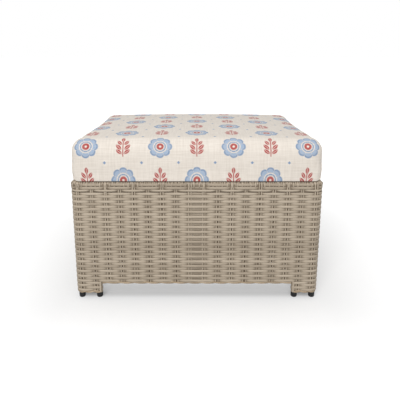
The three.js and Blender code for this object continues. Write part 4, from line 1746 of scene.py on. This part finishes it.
stage = {
    "floorSize": 60.0,
    "floorShade": 0.55,
    "key": {"place": (-0.5, -3.0, 2.85), "size": 2.4, "watts": 104.0, "aim": (0, 0, 0.25)},
    "world": 0.51,
    "glowAndPaintedShadow": [  # millimetres outside the footprint, and how white the floor shows there: lower near and under the object as a painted shadow, white far off
        (-120, 0.0), (-94, 0.4), (-84, 0.62), (-74, 0.5), (-63, 0.45), (-51, 0.4), (-39, 0.33), (-28, 0.215),
        (-18, 0.27), (-8, 0.38), (10, 0.405), (40, 0.42), (80, 0.453), (130, 0.495),
        (200, 0.54), (350, 0.62), (700, 0.75), (1500, 0.85),
    ],
}
view = {
    "sensor": 36,
    "lens": 439 / 400 * 36,
    "tilt": 12.2,
    "height": 0.6675,
    "away": 1.082,
    "shiftX": 0.0078,
    "shiftY": -0.1408,
}


def floorGlowAndPaintedShadow(tree):
    # light of the floor's own, by how far a spot lies outside the object's footprint; it is lower near and
    # under the object, a painted shadow
    place = partsOf(tree, objectPlace(tree))
    past = [minus(tree, absolute(tree, place[axis]), half)
            for axis, half in (("X", base["halfX"]), ("Y", base["halfY"]))]
    outside = [largest(tree, value, 0.0) for value in past]
    away = calc(tree, "SQRT", plus(tree, *[times(tree, value, value) for value in outside]))
    away = plus(tree, away, calc(tree, "MINIMUM", largest(tree, *past), 0.0))
    low, high = stage["glowAndPaintedShadow"][0][0] * mm, stage["glowAndPaintedShadow"][-1][0] * mm
    share = divide(tree, minus(tree, away, low), high - low)
    stops = [((d * mm - low) / (high - low), (g, g, g, 1.0)) for d, g in stage["glowAndPaintedShadow"]]
    return add(tree, "ShaderNodeEmission", {"Color": ramp(tree, share, stops), "Strength": 1.0}).outputs[0]


def makeFloor():
    mesh = bpy.data.meshes.new("floor")
    half = stage["floorSize"] / 2
    corners = [(-half, -half, 0), (half, -half, 0), (half, half, 0), (-half, half, 0)]
    mesh.from_pydata(corners, [], [(0, 1, 2, 3)])
    floor = bpy.data.objects.new("floor", mesh)
    sceneCollection.objects.link(floor)
    material, tree, shader = newMaterial("floor")
    fill(tree, shader, {
        "Base Color": (stage["floorShade"],) * 3 + (1.0,), "Roughness": 0.9, "Specular IOR Level": 0.1,
    })
    shown = add(tree, "ShaderNodeAddShader", {0: shader.outputs[0], 1: floorGlowAndPaintedShadow(tree)}).outputs[0]
    # the camera sees the glow with its painted shadow from above, and nothing from below
    seen = add(tree, "ShaderNodeLightPath").outputs["Is Camera Ray"]
    mix = add(tree, "ShaderNodeMixShader", {0: seen, 1: shader.outputs[0], 2: shown}).outputs[0]
    clear = add(tree, "ShaderNodeBsdfTransparent").outputs[0]
    fromBelow = times(tree, add(tree, "ShaderNodeNewGeometry").outputs["Backfacing"], seen)
    mix = add(tree, "ShaderNodeMixShader", {0: fromBelow, 1: mix, 2: clear}).outputs[0]
    tree.links.new(mix, tree.nodes["Material Output"].inputs["Surface"])
    mesh.materials.append(material)


def makeWorld():
    # soft light all round, which shows white itself
    world = bpy.data.worlds.new("studio")
    bpy.context.scene.world = world
    world.use_nodes = True
    tree = world.node_tree
    ground = tree.nodes["Background"]
    fill(tree, ground, {"Color": (1, 1, 1, 1), "Strength": stage["world"]})
    white = add(tree, "ShaderNodeBackground", {"Color": (1, 1, 1, 1), "Strength": 1.0})
    rays = add(tree, "ShaderNodeLightPath").outputs
    seen = largest(tree, *[rays[f"Is {kind} Ray"] for kind in ("Camera", "Glossy", "Transmission")])
    mix = add(tree, "ShaderNodeMixShader", {0: seen, 1: ground.outputs[0], 2: white.outputs[0]})
    tree.links.new(mix.outputs[0], tree.nodes["World Output"].inputs["Surface"])


def makeLamp():
    facts = stage["key"]
    lamp = bpy.data.lights.new("key", "AREA")
    lamp.shape = "DISK"
    lamp.size = facts["size"]
    lamp.energy = facts["watts"]
    key = bpy.data.objects.new("key", lamp)
    key.location = facts["place"]
    key.rotation_euler = (Vector(facts["aim"]) - key.location).to_track_quat("-Z", "Y").to_euler()
    sceneCollection.objects.link(key)


def makeCamera():
    camera = bpy.data.objects.new("camera", bpy.data.cameras.new("camera"))
    sceneCollection.objects.link(camera)
    camera.data.sensor_width = view["sensor"]
    camera.data.lens = view["lens"]
    camera.data.shift_x = view["shiftX"]
    camera.data.shift_y = view["shiftY"]
    camera.location = (0, -(base["halfY"] + view["away"]), view["height"])
    camera.rotation_euler = (math.radians(90 - view["tilt"]), 0, 0)
    bpy.context.scene.camera = camera


makeFloor()
makeWorld()
makeLamp()
makeCamera()
bpy.context.scene.view_settings.view_transform = "Standard"
print("stage set")
